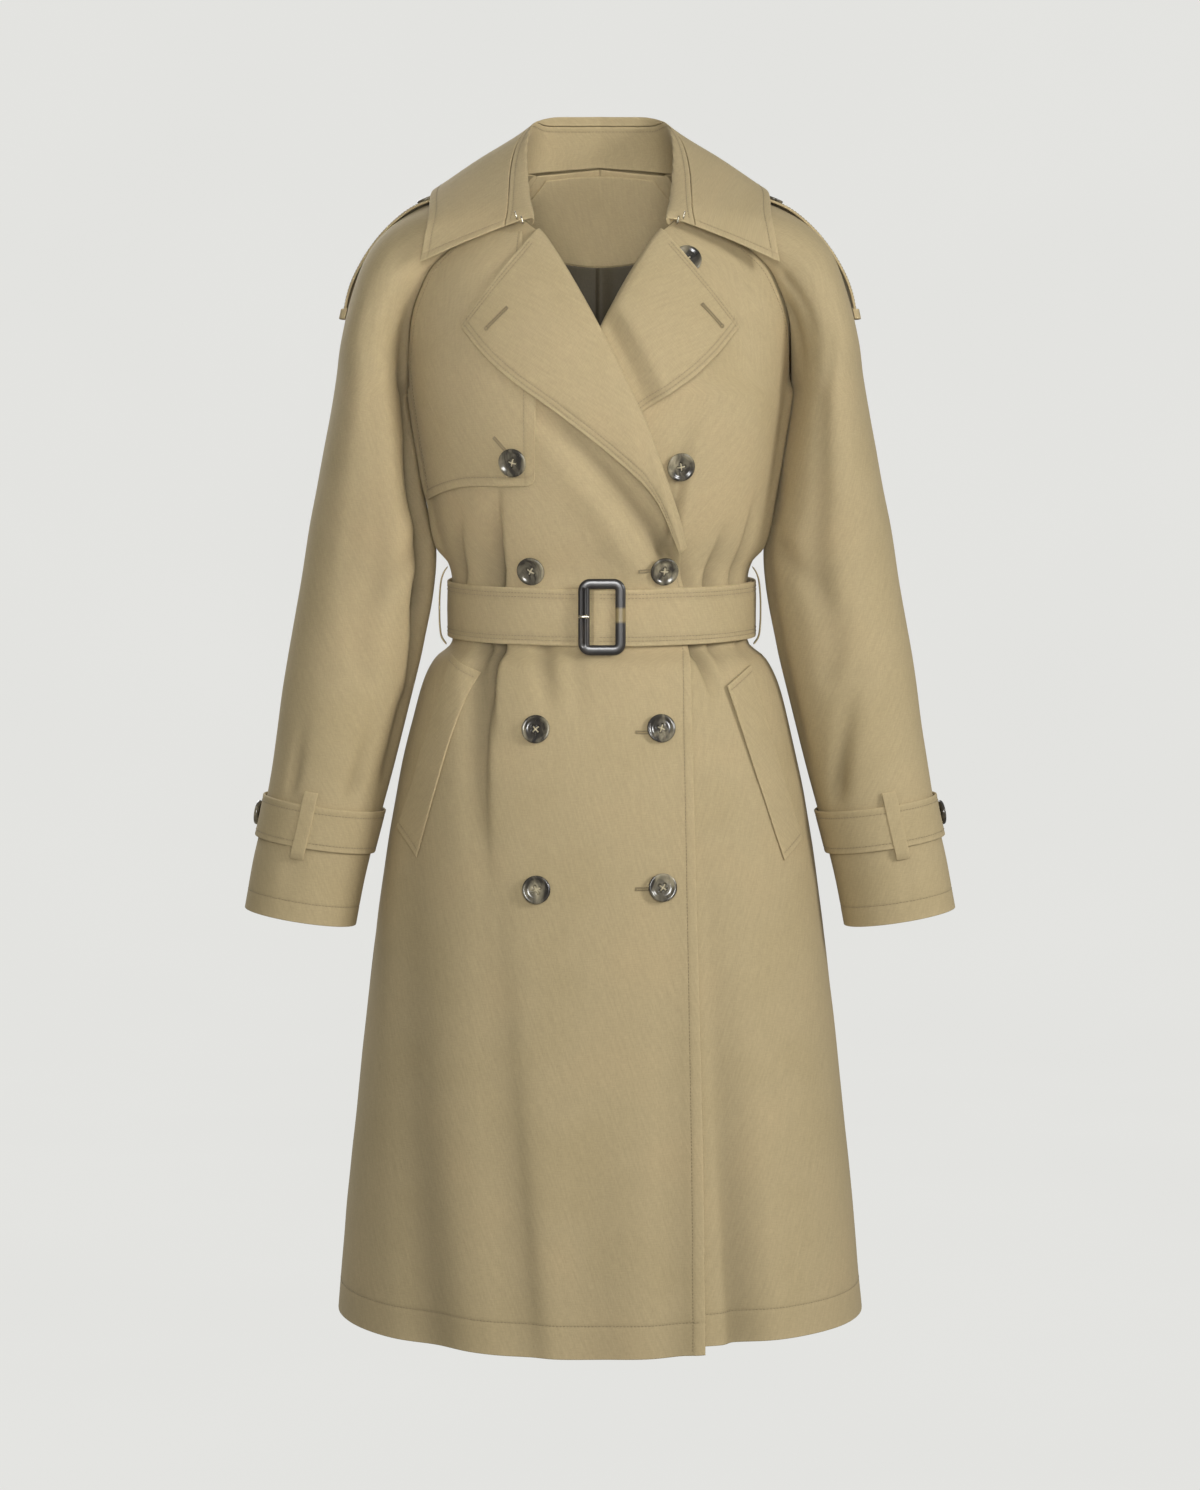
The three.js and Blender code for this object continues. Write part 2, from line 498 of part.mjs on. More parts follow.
// Points round the fold, as distances across the collar and up along the stand,
// and how far the leaf bows out and up between the fold and its edge
const FOLD = { under: 7, topOver: 2.5, topUp: 1, leafOver: 5.8, leafDown: 3, bow: 3, lift: 4, tilt: 1.2 };
function collarCurve(u) {
  const at = Math.abs(u);
  const side = Math.sign(u) || 1;
  const corner = (name) => new THREE.Vector3(
    side * read(COLLAR, 'at', at, `${name}X`),
    read(COLLAR, 'at', at, `${name}Y`),
    read(COLLAR, 'at', at, `${name}Z`),
  );
  const neck = corner('neck');
  const fold = corner('fold');
  const leaf = corner('leaf');
  const rise = fold.clone().sub(neck).normalize();
  const fall = leaf.clone().sub(fold).normalize();
  const out = new THREE.Vector3(fall.x, fall.y, 0).normalize();
  const lifted = fall.clone().setZ(fall.z + FOLD.tilt);
  const across = lifted.addScaledVector(rise, -lifted.dot(rise)).normalize();
  const before = fold.clone().addScaledVector(rise, -Math.min(FOLD.under, neck.distanceTo(fold) / 2));
  const top = fold.clone().addScaledVector(across, FOLD.topOver).addScaledVector(rise, FOLD.topUp);
  const after = fold.clone().addScaledVector(across, FOLD.leafOver).addScaledVector(rise, -FOLD.leafDown);
  const middle = fold.clone().lerp(leaf, 0.5).addScaledVector(out, FOLD.bow);
  middle.z += FOLD.lift;
  return new THREE.CatmullRomCurve3([neck, before, top, after, middle, leaf], false, 'centripetal');
}

// Distance from the fold to the stand seam: inside the neck at the back, outside in front
const STAND_SEAM = [
  { at: 0, past: -9 }, { at: 0.26, past: -8 }, { at: 0.4, past: 0 }, { at: 0.56, past: 9 }, { at: 1, past: 28 },
];
const standSeam = (u) => read(STAND_SEAM, 'at', Math.abs(u), 'past');

// Places along the collar's section, counted from the fold: closer together where it turns
const EDGE = 1000;              // farther than any edge, so the row lands on it
const STAND_ROWS = [-EDGE, -20, -7, -3.5, -0.8, 2, 5, 10, EDGE];
const FALL_ROWS = [-EDGE, -7, -3.5, -0.8, 2, 5, 10, 26, 52, EDGE];
const ROW_ROOM = 0.8;           // least distance between two rows
const CURVE_STEPS = 100;
const FOLD_STEP = 40;           // step of the curve at the top of the fold
const TURN_ROOM = { most: 1.7, over: 8 };    // extra room where the stand seam crosses the fold

function collarPart(part) {
  const rows = part === 'stand' ? STAND_ROWS : FALL_ROWS;
  const stations = steps(19).map((t) => lerp(-1, 1, t));
  const profile = (u) => {
    const curve = collarCurve(u);
    const lengths = curve.getLengths(CURVE_STEPS);
    const fold = lengths[FOLD_STEP];
    const whole = lengths[CURVE_STEPS];
    const seam = fold + standSeam(u);
    const room = SEAM_GAP + TURN_ROOM.most * Math.exp(-((standSeam(u) / TURN_ROOM.over) ** 2));
    const from = part === 'stand' ? 0 : seam + room;
    const to = part === 'stand' ? seam - room : whole;
    const places = [];
    rows.forEach((row, k) => {
      const least = k === 0 ? from : places[k - 1] + ROW_ROOM;
      const most = to - (rows.length - 1 - k) * ROW_ROOM;
      places.push(Math.min(Math.max(fold + row, least), most));
    });
    return places.map((place) => curve.getPointAt(THREE.MathUtils.clamp(place / whole, 0, 1)));
  };
  const profiles = new Map(stations.map((u) => [u, profile(u)]));
  return wall(stations, rows.map((_, k) => k), (u, k) => profiles.get(u)[k].clone(), CLOTH, 1);
}

// Straps and flaps on the body

const BELT_SAG = 4;              // how much lower the belt sits in front than at the back
// Degrees round the waist from the middle of the front: the belt, and its end lapped over it
const BELT = { from: -8, to: 351.2, stations: 40 };
const BELT_END = { from: -3, to: 116, stations: 16, out: BELT_STANDOFF + 2 * DOUBLED + LAP_ROOM };
function beltStrip(from, to, out, count) {
  const angles = steps(count).map((t) => radians(lerp(from, to, t)));
  return wall(angles, [0, 0.5, 1], (angle, v) => {
    const z = lerp(BELT_TOP - BELT_WIDTH, BELT_TOP, v) - BELT_SAG * Math.cos(angle);
    return hull(angle, BELT_TOP - BELT_WIDTH / 2, out).setZ(z);
  }, DOUBLED, 1);
}

// A flat band: a path in one plane, carried straight along its width
function band(path, widths, place, thickness, side) {
  return wall(path, widths, (p, w) => place(p, w), thickness, side);
}

// Storm flap: its front edge, lower and upper, the round corner, and the tip that hangs lower
// towards the armhole. Wrap is how many degrees it reaches round the side.
const FLAP = {
  edgeX: 54.7, topEdgeX: 66, edgeTurn: [-170, -110], corner: 9, bottom: -284.4, top: -62,
  tipDrop: 12.6, dropFrom: 105, dropOver: 47, wrap: 77, seamAngle: 0.02, out: 3.3,
};
const FLAP_STATIONS = [...steps(9).map((t) => t * 0.9), 0.94, 0.975, 1];
const FLAP_LOW_ROWS = [FLAP.bottom, -265, -245, -225];
function stormFlap() {
  const heights = [...FLAP_LOW_ROWS, ...SLEEVE_HEAD.slice(0, -2).map((row) => row.frontZ), FLAP.top];
  return wall(FLAP_STATIONS, heights, (u, z0) => {
    const v = (z0 - FLAP.bottom) / (FLAP.top - FLAP.bottom);
    const seam = Math.min(armholeAngle(FRONT_ARMHOLE, z0) - FLAP.seamAngle, radians(FLAP.wrap));
    const edgeX = lerp(FLAP.edgeX, FLAP.topEdgeX, smooth(...FLAP.edgeTurn, z0));
    const edge = angleAt(edgeX, z0);
    const angle = lerp(seam, edge, u);
    const x = hull(angle, z0).x;
    const drop = FLAP.tipDrop * Math.max(0, (x - FLAP.dropFrom) / FLAP.dropOver) ** 2;
    const near = Math.max(0, edgeX + FLAP.corner - x);
    const round = FLAP.corner - Math.sqrt(Math.max(FLAP.corner ** 2 - near ** 2, 0));
    const z = z0 + (round - drop) * (1 - v);
    return hull(-angle, z, FLAP.out);
  }, CLOTH, 1);
}

function welt(side, corners) {
  return wall(steps(3), steps(9), (u, v) => {
    const [x, z] = [0, 1].map((axis) => lerp(
      lerp(corners.topOuter[axis], corners.topFront[axis], u),
      lerp(corners.lowOuter[axis], corners.lowFront[axis], u),
      v,
    ));
    return hull(side * angleAt(Math.abs(x), z), z, corners.out);
  }, CLOTH, side);
}

// Epaulette: centre line of its outer face over the shoulder, and its carrier
const EPAULETTE = [
  { x: 116, z: -16.5 }, { x: 143, z: -24.8 }, { x: 169, z: -35 }, { x: 191, z: -52.5 },
  { x: 208.5, z: -73.7 }, { x: 217.5, z: -90 }, { x: 225, z: -111 }, { x: 230.5, z: -136 },
];
const EPAULETTE_HALF = 20;
const STRAP_CROWN = 457;        // twice the radius that a strap bends to over the shoulder
function epaulette(side) {
  const widths = [-1, -0.5, 0, 0.5, 1].map((t) => t * EPAULETTE_HALF);
  return band(EPAULETTE, widths, (p, w) => {
    const crown = w * w / STRAP_CROWN;
    return new THREE.Vector3(side * (p.x - crown), w, p.z - crown);
  }, DOUBLED, side);
}

const CARRIER = [
  { x: 226.8, y: -27 }, { x: 230.5, y: -25.5 }, { x: 232.2, y: -21 }, { x: 233.1, y: -10 }, { x: 233.4, y: 0 },
  { x: 233.1, y: 10 }, { x: 232.2, y: 21 }, { x: 230.5, y: 25.5 }, { x: 226.8, y: 27 },
];
const CARRIER_HEIGHTS = [-137, -128];
const CARRIER_LEAN = 0.22;      // how far it leans in for each millimetre up
function carrier(side) {
  return band(CARRIER, CARRIER_HEIGHTS, (p, z) => (
    new THREE.Vector3(side * (p.x - (z - CARRIER_HEIGHTS[0]) * CARRIER_LEAN), p.y, z)
  ), CLOTH, side);
}

const BELT_LOOP = [
  { x: 137.7, z: -358 }, { x: 141.2, z: -363.5 }, { x: 143.6, z: -371 }, { x: 144.9, z: -384 },
  { x: 145.2, z: -398 }, { x: 144.8, z: -412 }, { x: 143.2, z: -422 }, { x: 138.9, z: -428.5 },
];
const BELT_LOOP_HALF = 6;
const BELT_LOOP_CLOTH = 1.2;
function beltLoop(side) {
  const place = (p, y) => new THREE.Vector3(side * p.x, y, p.z);
  return band(BELT_LOOP, [-BELT_LOOP_HALF, BELT_LOOP_HALF], place, BELT_LOOP_CLOTH, side);
}

function cuffStrap(side) {
  const { low, high, out, reach } = CUFF_STRAP;
  return wall(steps(17), [low, (low + high) / 2, high], (u, v) => (
    mirrored(side, onSleeve(lerp(-reach, reach, u), v, out))
  ), DOUBLED, -side);
}

// The loop over the strap: place across the strap's width, and height over its outer face
const CUFF_LOOP = [
  { across: -0.3, over: -0.9 }, { across: -0.12, over: 1.35 }, { across: 0.5, over: 1.35 },
  { across: 1.12, over: 1.35 }, { across: 1.3, over: -0.9 },
];
function cuffLoop(side) {
  const { low, high, out, loopFrom, loopTo } = CUFF_STRAP;
  return wall([loopFrom, loopTo], CUFF_LOOP, (u, row) => (
    mirrored(side, onSleeve(u, lerp(low, high, row.across), out + row.over))
  ), CLOTH, -side);
}

// Inside the neck: a facing of the coat's cloth, and the lining below it with its pleat.
// Turns are degrees each way from the centre back; the lower edge rises towards the sides.
const FACING = { lowTurn: 52, topTurn: 36, lowRise: 34, top: -6, topDip: 12, inside: 1.5 };
function backNeckFacing() {
  const { lowTurn, topTurn, lowRise, top, topDip, inside } = FACING;
  return wall(steps(13), steps(5), (u, v) => {
    const turn = radians(lerp(-1, 1, u) * lerp(lowTurn, topTurn, v));
    const aside = Math.sin(turn) ** 2;
    const z = lerp(FACING_HEM + lowRise * aside, top - topDip * aside, v);
    return hull(Math.PI + turn, z, -CLOTH - inside);
  }, CLOTH, 1);
}

const PLEAT = { deep: 5, wide: 0.09, inside: 2.3 };
const LINING_TURNS = [-62, -46, -30, -18, -10, -5, -2, 0, 2, 5, 10, 18, 30, 46, 62];
function backLining() {
  return wall(LINING_TURNS.map(radians), steps(5), (turn, v) => {
    const z = lerp(LINING_HEM, FACING_HEM - 1 + FACING.lowRise * Math.sin(turn) ** 2, v);
    const pleat = PLEAT.deep * Math.exp(-((turn / PLEAT.wide) ** 2));
    return hull(Math.PI + turn, z, -CLOTH - PLEAT.inside - pleat);
  }, CLOTH, 1);
}

// Buckle: a rounded frame with one window, and the prong across its bar
function buckleFrame() {
  const { width, height, bar, corner, thickness } = BUCKLE;
  const rounded = (Path, w, h, r) => {
    const path = new Path();
    path.absarc(w / 2 - r, h / 2 - r, r, 0, Math.PI / 2);
    path.absarc(-w / 2 + r, h / 2 - r, r, Math.PI / 2, Math.PI);
    path.absarc(-w / 2 + r, -h / 2 + r, r, Math.PI, 1.5 * Math.PI);
    path.absarc(w / 2 - r, -h / 2 + r, r, 1.5 * Math.PI, 2 * Math.PI);
    path.closePath();
    return path;
  };
  const outline = rounded(THREE.Shape, width, height, corner);
  outline.holes.push(rounded(THREE.Path, width - 2 * bar, height - 2 * bar, corner / 3));
  const { bevel } = BUCKLE;
  const frame = new THREE.ExtrudeGeometry(outline, {
    depth: thickness - 2 * bevel, bevelThickness: bevel, bevelSize: bevel, bevelOffset: -bevel,
    bevelSegments: 1, curveSegments: 3,
  });
  return frame.translate(0, 0, bevel).rotateX(Math.PI / 2);
}

// Buttons, and a disc's place on the body

function buttonShape(radius, thickness) {
  const profile = [
    [0, 0], [radius * 0.8, 0], [radius, thickness * 0.45], [radius * 0.9, thickness],
    [radius * 0.66, thickness * 0.7], [0, thickness * 0.7],
  ];
  const lathe = new THREE.LatheGeometry(profile.map(([x, y]) => new THREE.Vector2(x, y)), 12);
  return lathe.rotateX(Math.PI / 2);
}

function button(name, base, normal, radius = BUTTON_RADIUS, thickness = BUTTON_THICKNESS) {
  const mesh = add(name, buttonShape(radius, thickness), HORN);
  mesh.position.copy(base);
  mesh.quaternion.setFromUnitVectors(new THREE.Vector3(0, 0, 1), normal);
}

function epauletteButton(side) {
  const { x, z, slope, radius, thickness } = EPAULETTE_BUTTON;
  const normal = new THREE.Vector3(side * Math.sin(slope), 0, Math.cos(slope));
  const base = new THREE.Vector3(side * x, 0, z).addScaledVector(normal, SEAM_GAP);
  button(`button_epaulette_${side < 0 ? 'right' : 'left'}`, base, normal, radius, thickness);
}

function cuffButton(side) {
  const { low, high, out } = CUFF_STRAP;
  const { around, radius } = CUFF_BUTTON;
  const middle = (low + high) / 2;
  const base = onSleeve(around, middle, out + SEAM_GAP);
  const normal = onSleeve(around, middle, out + BUTTON_THICKNESS).sub(base).normalize();
  button(`button_cuff_${side < 0 ? 'right' : 'left'}`, mirrored(side, base), mirrored(side, normal), radius);
}

function bodyButton({ name, x, z, standoff }) {
  const angle = angleAt(x, z);
  const normal = outward(angle, z);
  button(name, hull(angle, z).addScaledVector(normal, standoff), normal);
}

// Assembly

const flat = () => 0;
const SIDES = [{ name: 'right', side: -1 }, { name: 'left', side: 1 }];

add('front_right', frontPanel(-1, HEM_DIP, frontReach, flat), FRONT_CLOTH);
add('front_left', frontPanel(1, UNDER_HEM_DIP, underReach, underDepth), FRONT_CLOTH);
add('lapel_right', lapel(-1, flat, flat), FRONT_CLOTH);
add('lapel_left', lapel(1, underDepth, beneathOuter), FRONT_CLOTH);
add('storm_flap', stormFlap(), FRONT_CLOTH);
add('collar_stand', collarPart('stand'), TRIM_CLOTH);
add('collar_fall', collarPart('fall'), FRONT_CLOTH);
add('back_neck_facing', backNeckFacing(), TRIM_CLOTH);
add('back_lining', backLining(), LINING);
for (const { name, side } of SIDES) {
  add(`back_${name}`, backPanel(side), FRONT_CLOTH);
  add(`sleeve_${name}`, sleeve(side), SLEEVE_CLOTH);
  add(`epaulette_${name}`, epaulette(side), FRONT_CLOTH);
  add(`epaulette_carrier_${name}`, carrier(side), FRONT_CLOTH);
  add(`cuff_strap_${name}`, cuffStrap(side), TRIM_CLOTH);
  add(`cuff_loop_${name}`, cuffLoop(side), TRIM_CLOTH);
  add(`belt_loop_${name}`, beltLoop(side), TRIM_CLOTH);
  add(`pocket_welt_${name}`, welt(side, WELTS[name]), FRONT_CLOTH);
  epauletteButton(side);
  cuffButton(side);
}
add('belt', beltStrip(BELT.from, BELT.to, BELT_STANDOFF + DOUBLED, BELT.stations), TRIM_CLOTH);
add('belt_end', beltStrip(BELT_END.from, BELT_END.to, BELT_END.out, BELT_END.stations), TRIM_CLOTH);

const buckle = add('buckle_frame', buckleFrame(), HORN);
buckle.position.set(BUCKLE.x, BUCKLE.y, BUCKLE.z);

const prong = add('buckle_prong', new THREE.CylinderGeometry(PRONG.radius, PRONG.radius, PRONG.length, 8), METAL);
prong.rotation.z = Math.PI / 2;
prong.position.set(PRONG.x, BUCKLE.y - BUCKLE.thickness - PRONG.radius - SEAM_GAP, PRONG.z);

BODY_BUTTONS.forEach(bodyButton);

export default coat;
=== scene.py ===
"""A belted, double-breasted trench coat, filled out as if worn: cloth, seams, stitching and trim.

Sizes are millimetres until a mesh is made, which turns them to metres. +Z is up, the front faces -Y,
and the wearer's left is +X. The origin is at the nape.
"""
import math

import bpy
import numpy as np
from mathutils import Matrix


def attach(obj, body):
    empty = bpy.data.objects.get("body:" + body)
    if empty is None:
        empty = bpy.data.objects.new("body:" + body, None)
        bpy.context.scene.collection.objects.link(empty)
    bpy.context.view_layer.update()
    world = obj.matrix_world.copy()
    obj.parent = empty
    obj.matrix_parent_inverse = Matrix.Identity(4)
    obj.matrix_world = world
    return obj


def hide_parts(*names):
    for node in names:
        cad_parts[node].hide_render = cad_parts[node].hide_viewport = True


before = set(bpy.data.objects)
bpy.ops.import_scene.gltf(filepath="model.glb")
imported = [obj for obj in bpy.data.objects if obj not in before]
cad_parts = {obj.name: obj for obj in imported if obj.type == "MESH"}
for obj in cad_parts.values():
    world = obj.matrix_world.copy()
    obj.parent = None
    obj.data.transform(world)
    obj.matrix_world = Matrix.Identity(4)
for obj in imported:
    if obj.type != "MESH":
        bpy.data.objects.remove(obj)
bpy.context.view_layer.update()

# Driving dimensions, the same as the solids'

CLOTH = 1.6             # wall of one cloth panel
DOUBLED = 2.2           # wall of a strap made of two layers
SEAM_GAP = 0.3
HEM_SIDE = -1032
HEM_DIP = 12            # how much lower the outer front hangs in the middle
UNDER_HEM_DIP = 3
ARMPIT = -205
SQUARENESS = 2.3        # exponent of the body's rounded sections
BELT_TOP = -370
BELT_WIDTH = 50
BELT_STANDOFF = 1.6
BELT_SAG = 4
UNDERLAP_REACH = 78
FACING_HEM = -87
LINING_HEM = -262
HEM_TURN = 28           # height of the hem's stitch line over its edge
EDGE_STITCH = 8         # distance of a single topstitch line from an edge
PITCH = 4.5             # spacing of the points of a cloth grid
FRONT_PITCH = 2.6       # the same across the fronts, where the folds are steep
STITCH = 3.1            # from one topstitch to the next
BREAK = -343            # height at which the lapels' roll line meets the front edge
FRONT_TOP = -38         # heights at which the raglan seams meet the neck
BACK_TOP = -6
GIRTH = 150             # mean radius of the body, which turns an angle into a distance round it
SIDE_GIRTH = 160        # the same at its sides
SLEEVE_LENGTH = 700
SLEEVE_GIRTH = 200      # half way round a sleeve
SEAM_DIP = 0.7          # how far a seam draws the cloth in


def table(columns, *rows):
    """A short table as one array for each named column."""
    return dict(zip(columns.split(), np.array(rows, dtype=float).T))


SECTIONS = table(
    "z half front back",
    (-1040, 240, 172, 166), (-940, 231, 166, 160), (-845, 221, 160, 153), (-750, 211, 153, 146),
    (-660, 200, 146, 140), (-605, 192, 141, 136), (-550, 182, 136, 131), (-497, 170, 128, 123),
    (-460, 159.5, 119, 113), (-440, 149, 112, 106), (-427, 134.5, 101, 94), (-396, 133.5, 100, 93),
    (-363, 134.5, 101, 93.5), (-335, 146, 110, 99), (-298, 154, 120, 106), (-254, 161, 129, 112),
    (-209, 168, 132, 115), (-160, 174, 127, 114), (-130, 178, 121, 112), (-100, 176, 111, 108),
    (-78, 170, 102, 103), (-60, 162, 92, 98), (-40, 150, 80, 90), (-20, 130, 68, 80), (0, 100, 54, 71),
)
FRONT_ARMHOLE = table(
    "z angle",
    (-205, 90), (-190, 82.5), (-161, 76.8), (-132, 71.6), (-113, 68.6), (-94, 65.9), (-78, 61.3),
    (-60, 56.4), (-38, 51),
)
BACK_ARMHOLE = table(
    "z angle",
    (-205, 90), (-190, 81), (-163, 71.5), (-135, 65.8), (-112, 62), (-88, 57.4), (-63, 51.5),
    (-36, 46), (-6, 41.6),
)
FRONT_EDGE = table(
    "z x",
    (-1046, 92.5), (-890, 91), (-660, 85.6), (-520, 82), (-420, 79), (-370, 76), (-343, 72),
    (-317, 66), (-295, 59), (-235, 39), (-196, 21), (-161.6, 4.3), (-106, -26), (-71.5, -47.4), (-60, -57),
)
LAPEL = table(
    "at roll_z edge_x edge_z",
    (0, -63, -118.4, -144), (0.25, -106, -86.5, -181.4), (0.5, -161.6, -34.6, -222),
    (0.75, -222, 17.3, -265), (0.9, -290, 47.7, -299), (1, -340, 66.5, -343.5),
)
LAPEL_TURN = table(
    "at across turned",
    (0, 3, 0), (0.05, 3.2, 0.17), (0.1, 4.2, 0.5), (0.16, 2.6, 0.84), (0.24, -2, 1), (0.45, 0, 1),
    (0.72, 0, 1), (1, 0, 1),
)
SLEEVE = table(
    "at inner_x inner_z ridge_x ridge_z y deep",
    (0.00, 219.4, -679.5, 320, -663, -28, 47), (0.07, 211, -636, 312, -620, -24, 49),
    (0.14, 199, -588, 301.5, -573, -19, 53), (0.21, 184.5, -534, 293, -520, -13, 57),
    (0.28, 171, -480, 285.5, -466, -8, 60), (0.35, 158, -426, 276.5, -412, -4, 63),
    (0.41, 149, -376, 268, -362, -1, 67), (0.46, 147.4, -338, 262, -325, 0, 72),
    (0.51, 156.2, -300, 255, -290, 0, 77), (0.57, 162.8, -254, 247.5, -250, 0, 81),
    (0.63, 170, -209, 239.4, -209, 0, 84),
)
SLEEVE_HEAD = table(
    "at front_z back_z ridge_x ridge_z deep",
    (0.63, -205, -205, 239.4, -209, 84), (0.67, -190, -190, 235, -185, 85),
    (0.72, -161, -163, 229.5, -156, 85), (0.77, -132, -135, 220, -117, 83),
    (0.82, -113, -112, 207.5, -83, 82), (0.87, -94, -88, 189, -58, 79.5),
    (0.91, -78, -63, 164, -40, 79.5), (0.95, -60, -36, 128, -26, 79.5), (1.00, -38, -6, 78, -15, 70),
)
COLLAR = table(
    "at neck_x neck_y neck_z fold_x fold_y fold_z leaf_x leaf_y leaf_z",
    (0, 0, 71, 1, 0, 58, 45, 0, 100, -32), (0.3, 56, 63, -4, 48, 46, 42, 95, 90, -28),
    (0.58, 79, 2, -12, 62, 4, 24, 146, 8, -20), (0.82, 84, -68, -34, 62, -66, -32, 151, -70, -51),
    (1, 59, -92, -57, 56, -98, -55, 157, -93, -89),
)
EPAULETTE = table(
    "at x z",
    (0, 116, -16.5), (0.15, 143, -24.8), (0.31, 169, -35), (0.47, 191, -52.5), (0.63, 208.5, -73.7),
    (0.74, 217.5, -90), (0.86, 225, -111), (1, 230.5, -136),
)
CARRIER = table(
    "at x y",
    (0, 226.8, -27), (0.08, 230.5, -25.5), (0.17, 232.2, -21), (0.33, 233.1, -10), (0.5, 233.4, 0),
    (0.67, 233.1, 10), (0.83, 232.2, 21), (0.92, 230.5, 25.5), (1, 226.8, 27),
)
BELT_LOOP = table(
    "at x z",
    (0, 137.7, -358), (0.1, 141.2, -363.5), (0.2, 143.6, -371), (0.37, 144.9, -384), (0.57, 145.2, -398),
    (0.77, 144.8, -412), (0.91, 143.2, -422), (1, 138.9, -428.5),
)
# The pocket welts, by side: outer x and z and front x and z of the top and low edge
WELTS = {
    -1: {"top": (-131, -433, -113, -448), "low": (-181, -588, -164, -612), "out": 3.2},
    1: {"top": (133, -442, 111, -459), "low": (179, -598, 162, -614), "out": 2.3},
}
# The coat's big buttons: x, z, and how far each one's back stands off the smooth body
BUTTONS = {
    "button_flap": (-74.5, -262.5, 3.35),
    "button_right_top": (-59.9, -357.7, 1),
    "button_right_middle": (-55.7, -495.3, 0.05),
    "button_right_low": (-55.1, -634, 0.3),
    "button_left_chest": (72.5, -268.5, -8.45),
    "button_left_top": (55.6, -357.7, 1.5),
    "button_left_middle": (53.1, -494.5, 0.15),
    "button_left_low": (54.2, -632, 1),
    "button_collar": (76, -87, -1.4),
}

# Folds that the belt gathers: start, end, half width on each side of the line, depth at start and end
FRONT_FOLDS = table(
    "x0 z0 x1 z1 left right deep0 deep1",
    (-90, -276, -90, -374, 16, 4, 0, 8), (-89, -300, -90, -376, 6, 2.4, 2, 15),
    (-121, -296, -123, -374, 14, 4, 0, 9), (-147, -250, -150, -330, 12, 12, 0, 3),
    (80, -318, 80, -374, 4, 8, 0, 6), (118, -308, 100, -376, 3.5, 9, 0, 12),
    (139, -286, 121, -376, 3.5, 9, 0, 12), (88, -226, 68, -325, 9, 5, 2, 9),
    (-30, -236, 60, -342, 13, 9, 3, 9), (-64, -232, 24, -346, 16, 14, -1, -4),
    (-90, -414, -97, -660, 17, 6, 14, 0), (-90, -414, -91, -520, 5, 2.6, 11, 0),
    (-103, -414, -112, -480, 9, 3, 11, 0), (-54, -414, -38, -500, 7, 11, 9, 0),
    (-20, -414, -14, -520, 9, 9, 4, 0), (82, -412, 108, -486, 4, 8, 15, 0),
    (104, -412, 111, -456, 3.5, 8, 11, 0), (127, -414, 131, -440, 4, 8, 8, 0),
    (-166, -600, -148, -1060, 24, 26, 3, 8), (-92, -640, -66, -1000, 22, 14, 2, 6),
    (100, -640, 126, -1060, 10, 24, 2, 10), (66, -560, 74, -1060, 20, 9, 1, 5),
    (-6, -700, 4, -1060, 34, 30, 0, 4),
)
BACK_FOLDS = table(
    "x0 z0 x1 z1 left right deep0 deep1",
    (-44, -280, -40, -374, 5, 13, 0, 9), (50, -300, 44, -374, 13, 5, 0, 9),
    (-96, -300, -90, -374, 5, 13, 0, 9), (98, -285, 92, -374, 13, 5, 0, 9),
    (-42, -416, -64, -620, 6, 15, 11, 0), (46, -416, 60, -580, 15, 6, 11, 0),
    (-92, -416, -122, -560, 6, 14, 9, 0), (94, -416, 126, -610, 14, 6, 9, 0),
    (-12, -418, -20, -520, 8, 10, 4, 0), (-128, -418, -150, -520, 8, 10, 5, 0),
    (128, -418, 148, -540, 10, 8, 5, 0), (-90, -620, -104, -1060, 30, 34, 0, 6),
    (84, -660, 96, -1060, 34, 30, 0, 6), (-6, -560, 4, -1060, 26, 30, 0, 4),
)
# The same on a sleeve, by turn round it (0 on the outer ridge, 1 at the front seam) and place along it.
# side is -1 for a crease of the right sleeve alone, 1 for one of the left sleeve alone, and 0 for both.
SLEEVE_FOLDS = table(
    "side around0 along0 around1 along1 wide deep0 deep1",
    (-1, 0.97, 0.78, 0.86, 0.55, 12, 4, 13), (-1, 0.86, 0.55, 0.85, 0.4, 13, 13, 14),
    (-1, 0.85, 0.4, 0.93, 0.3, 12, 14, 9), (-1, 0.9, 0.28, 0.88, 0.2, 12, 8, 5),
    (-1, 0.31, 0.26, 0.31, 0.165, 7, 0, 6), (-1, 0.68, 0.26, 0.66, 0.165, 9, 1, 6),
    (1, 0.98, 0.78, 0.84, 0.68, 7, 6, 1), (1, 0.9, 0.84, 0.78, 0.74, 7, 4, 1),
    (1, 0.49, 0.3, 0.74, 0.165, 10, 1, 9), (1, 0.9, 0.5, 0.92, 0.25, 12, 3, 4),
    (0, 0.6, 0.76, 0.57, 0.4, 15, 1, 6), (-1, 0.5, 0.7, 0.45, 0.44, 16, 1, 4),
    (0, 0.8, 0.46, 0.5, 0.38, 10, 4, 0.5), (0, 0.62, 0.31, 0.4, 0.4, 12, 3, 0.5),
    (0, 0.42, 0.12, 0.44, 0.02, 14, 2.5, 0.5),
    (0, -0.5, 0.7, -0.62, 0.42, 20, 0.5, 4), (0, -0.84, 0.45, -0.5, 0.38, 11, 4.5, 0.5),
    (0, -0.95, 0.36, -0.6, 0.3, 10, 4.5, 0.5), (0, -0.4, 0.3, -0.36, 0.16, 11, 0, 4),
    (0, -0.72, 0.26, -0.7, 0.16, 10, 0.5, 4), (0, -0.88, 0.8, -0.97, 0.68, 10, 1, 5),
)

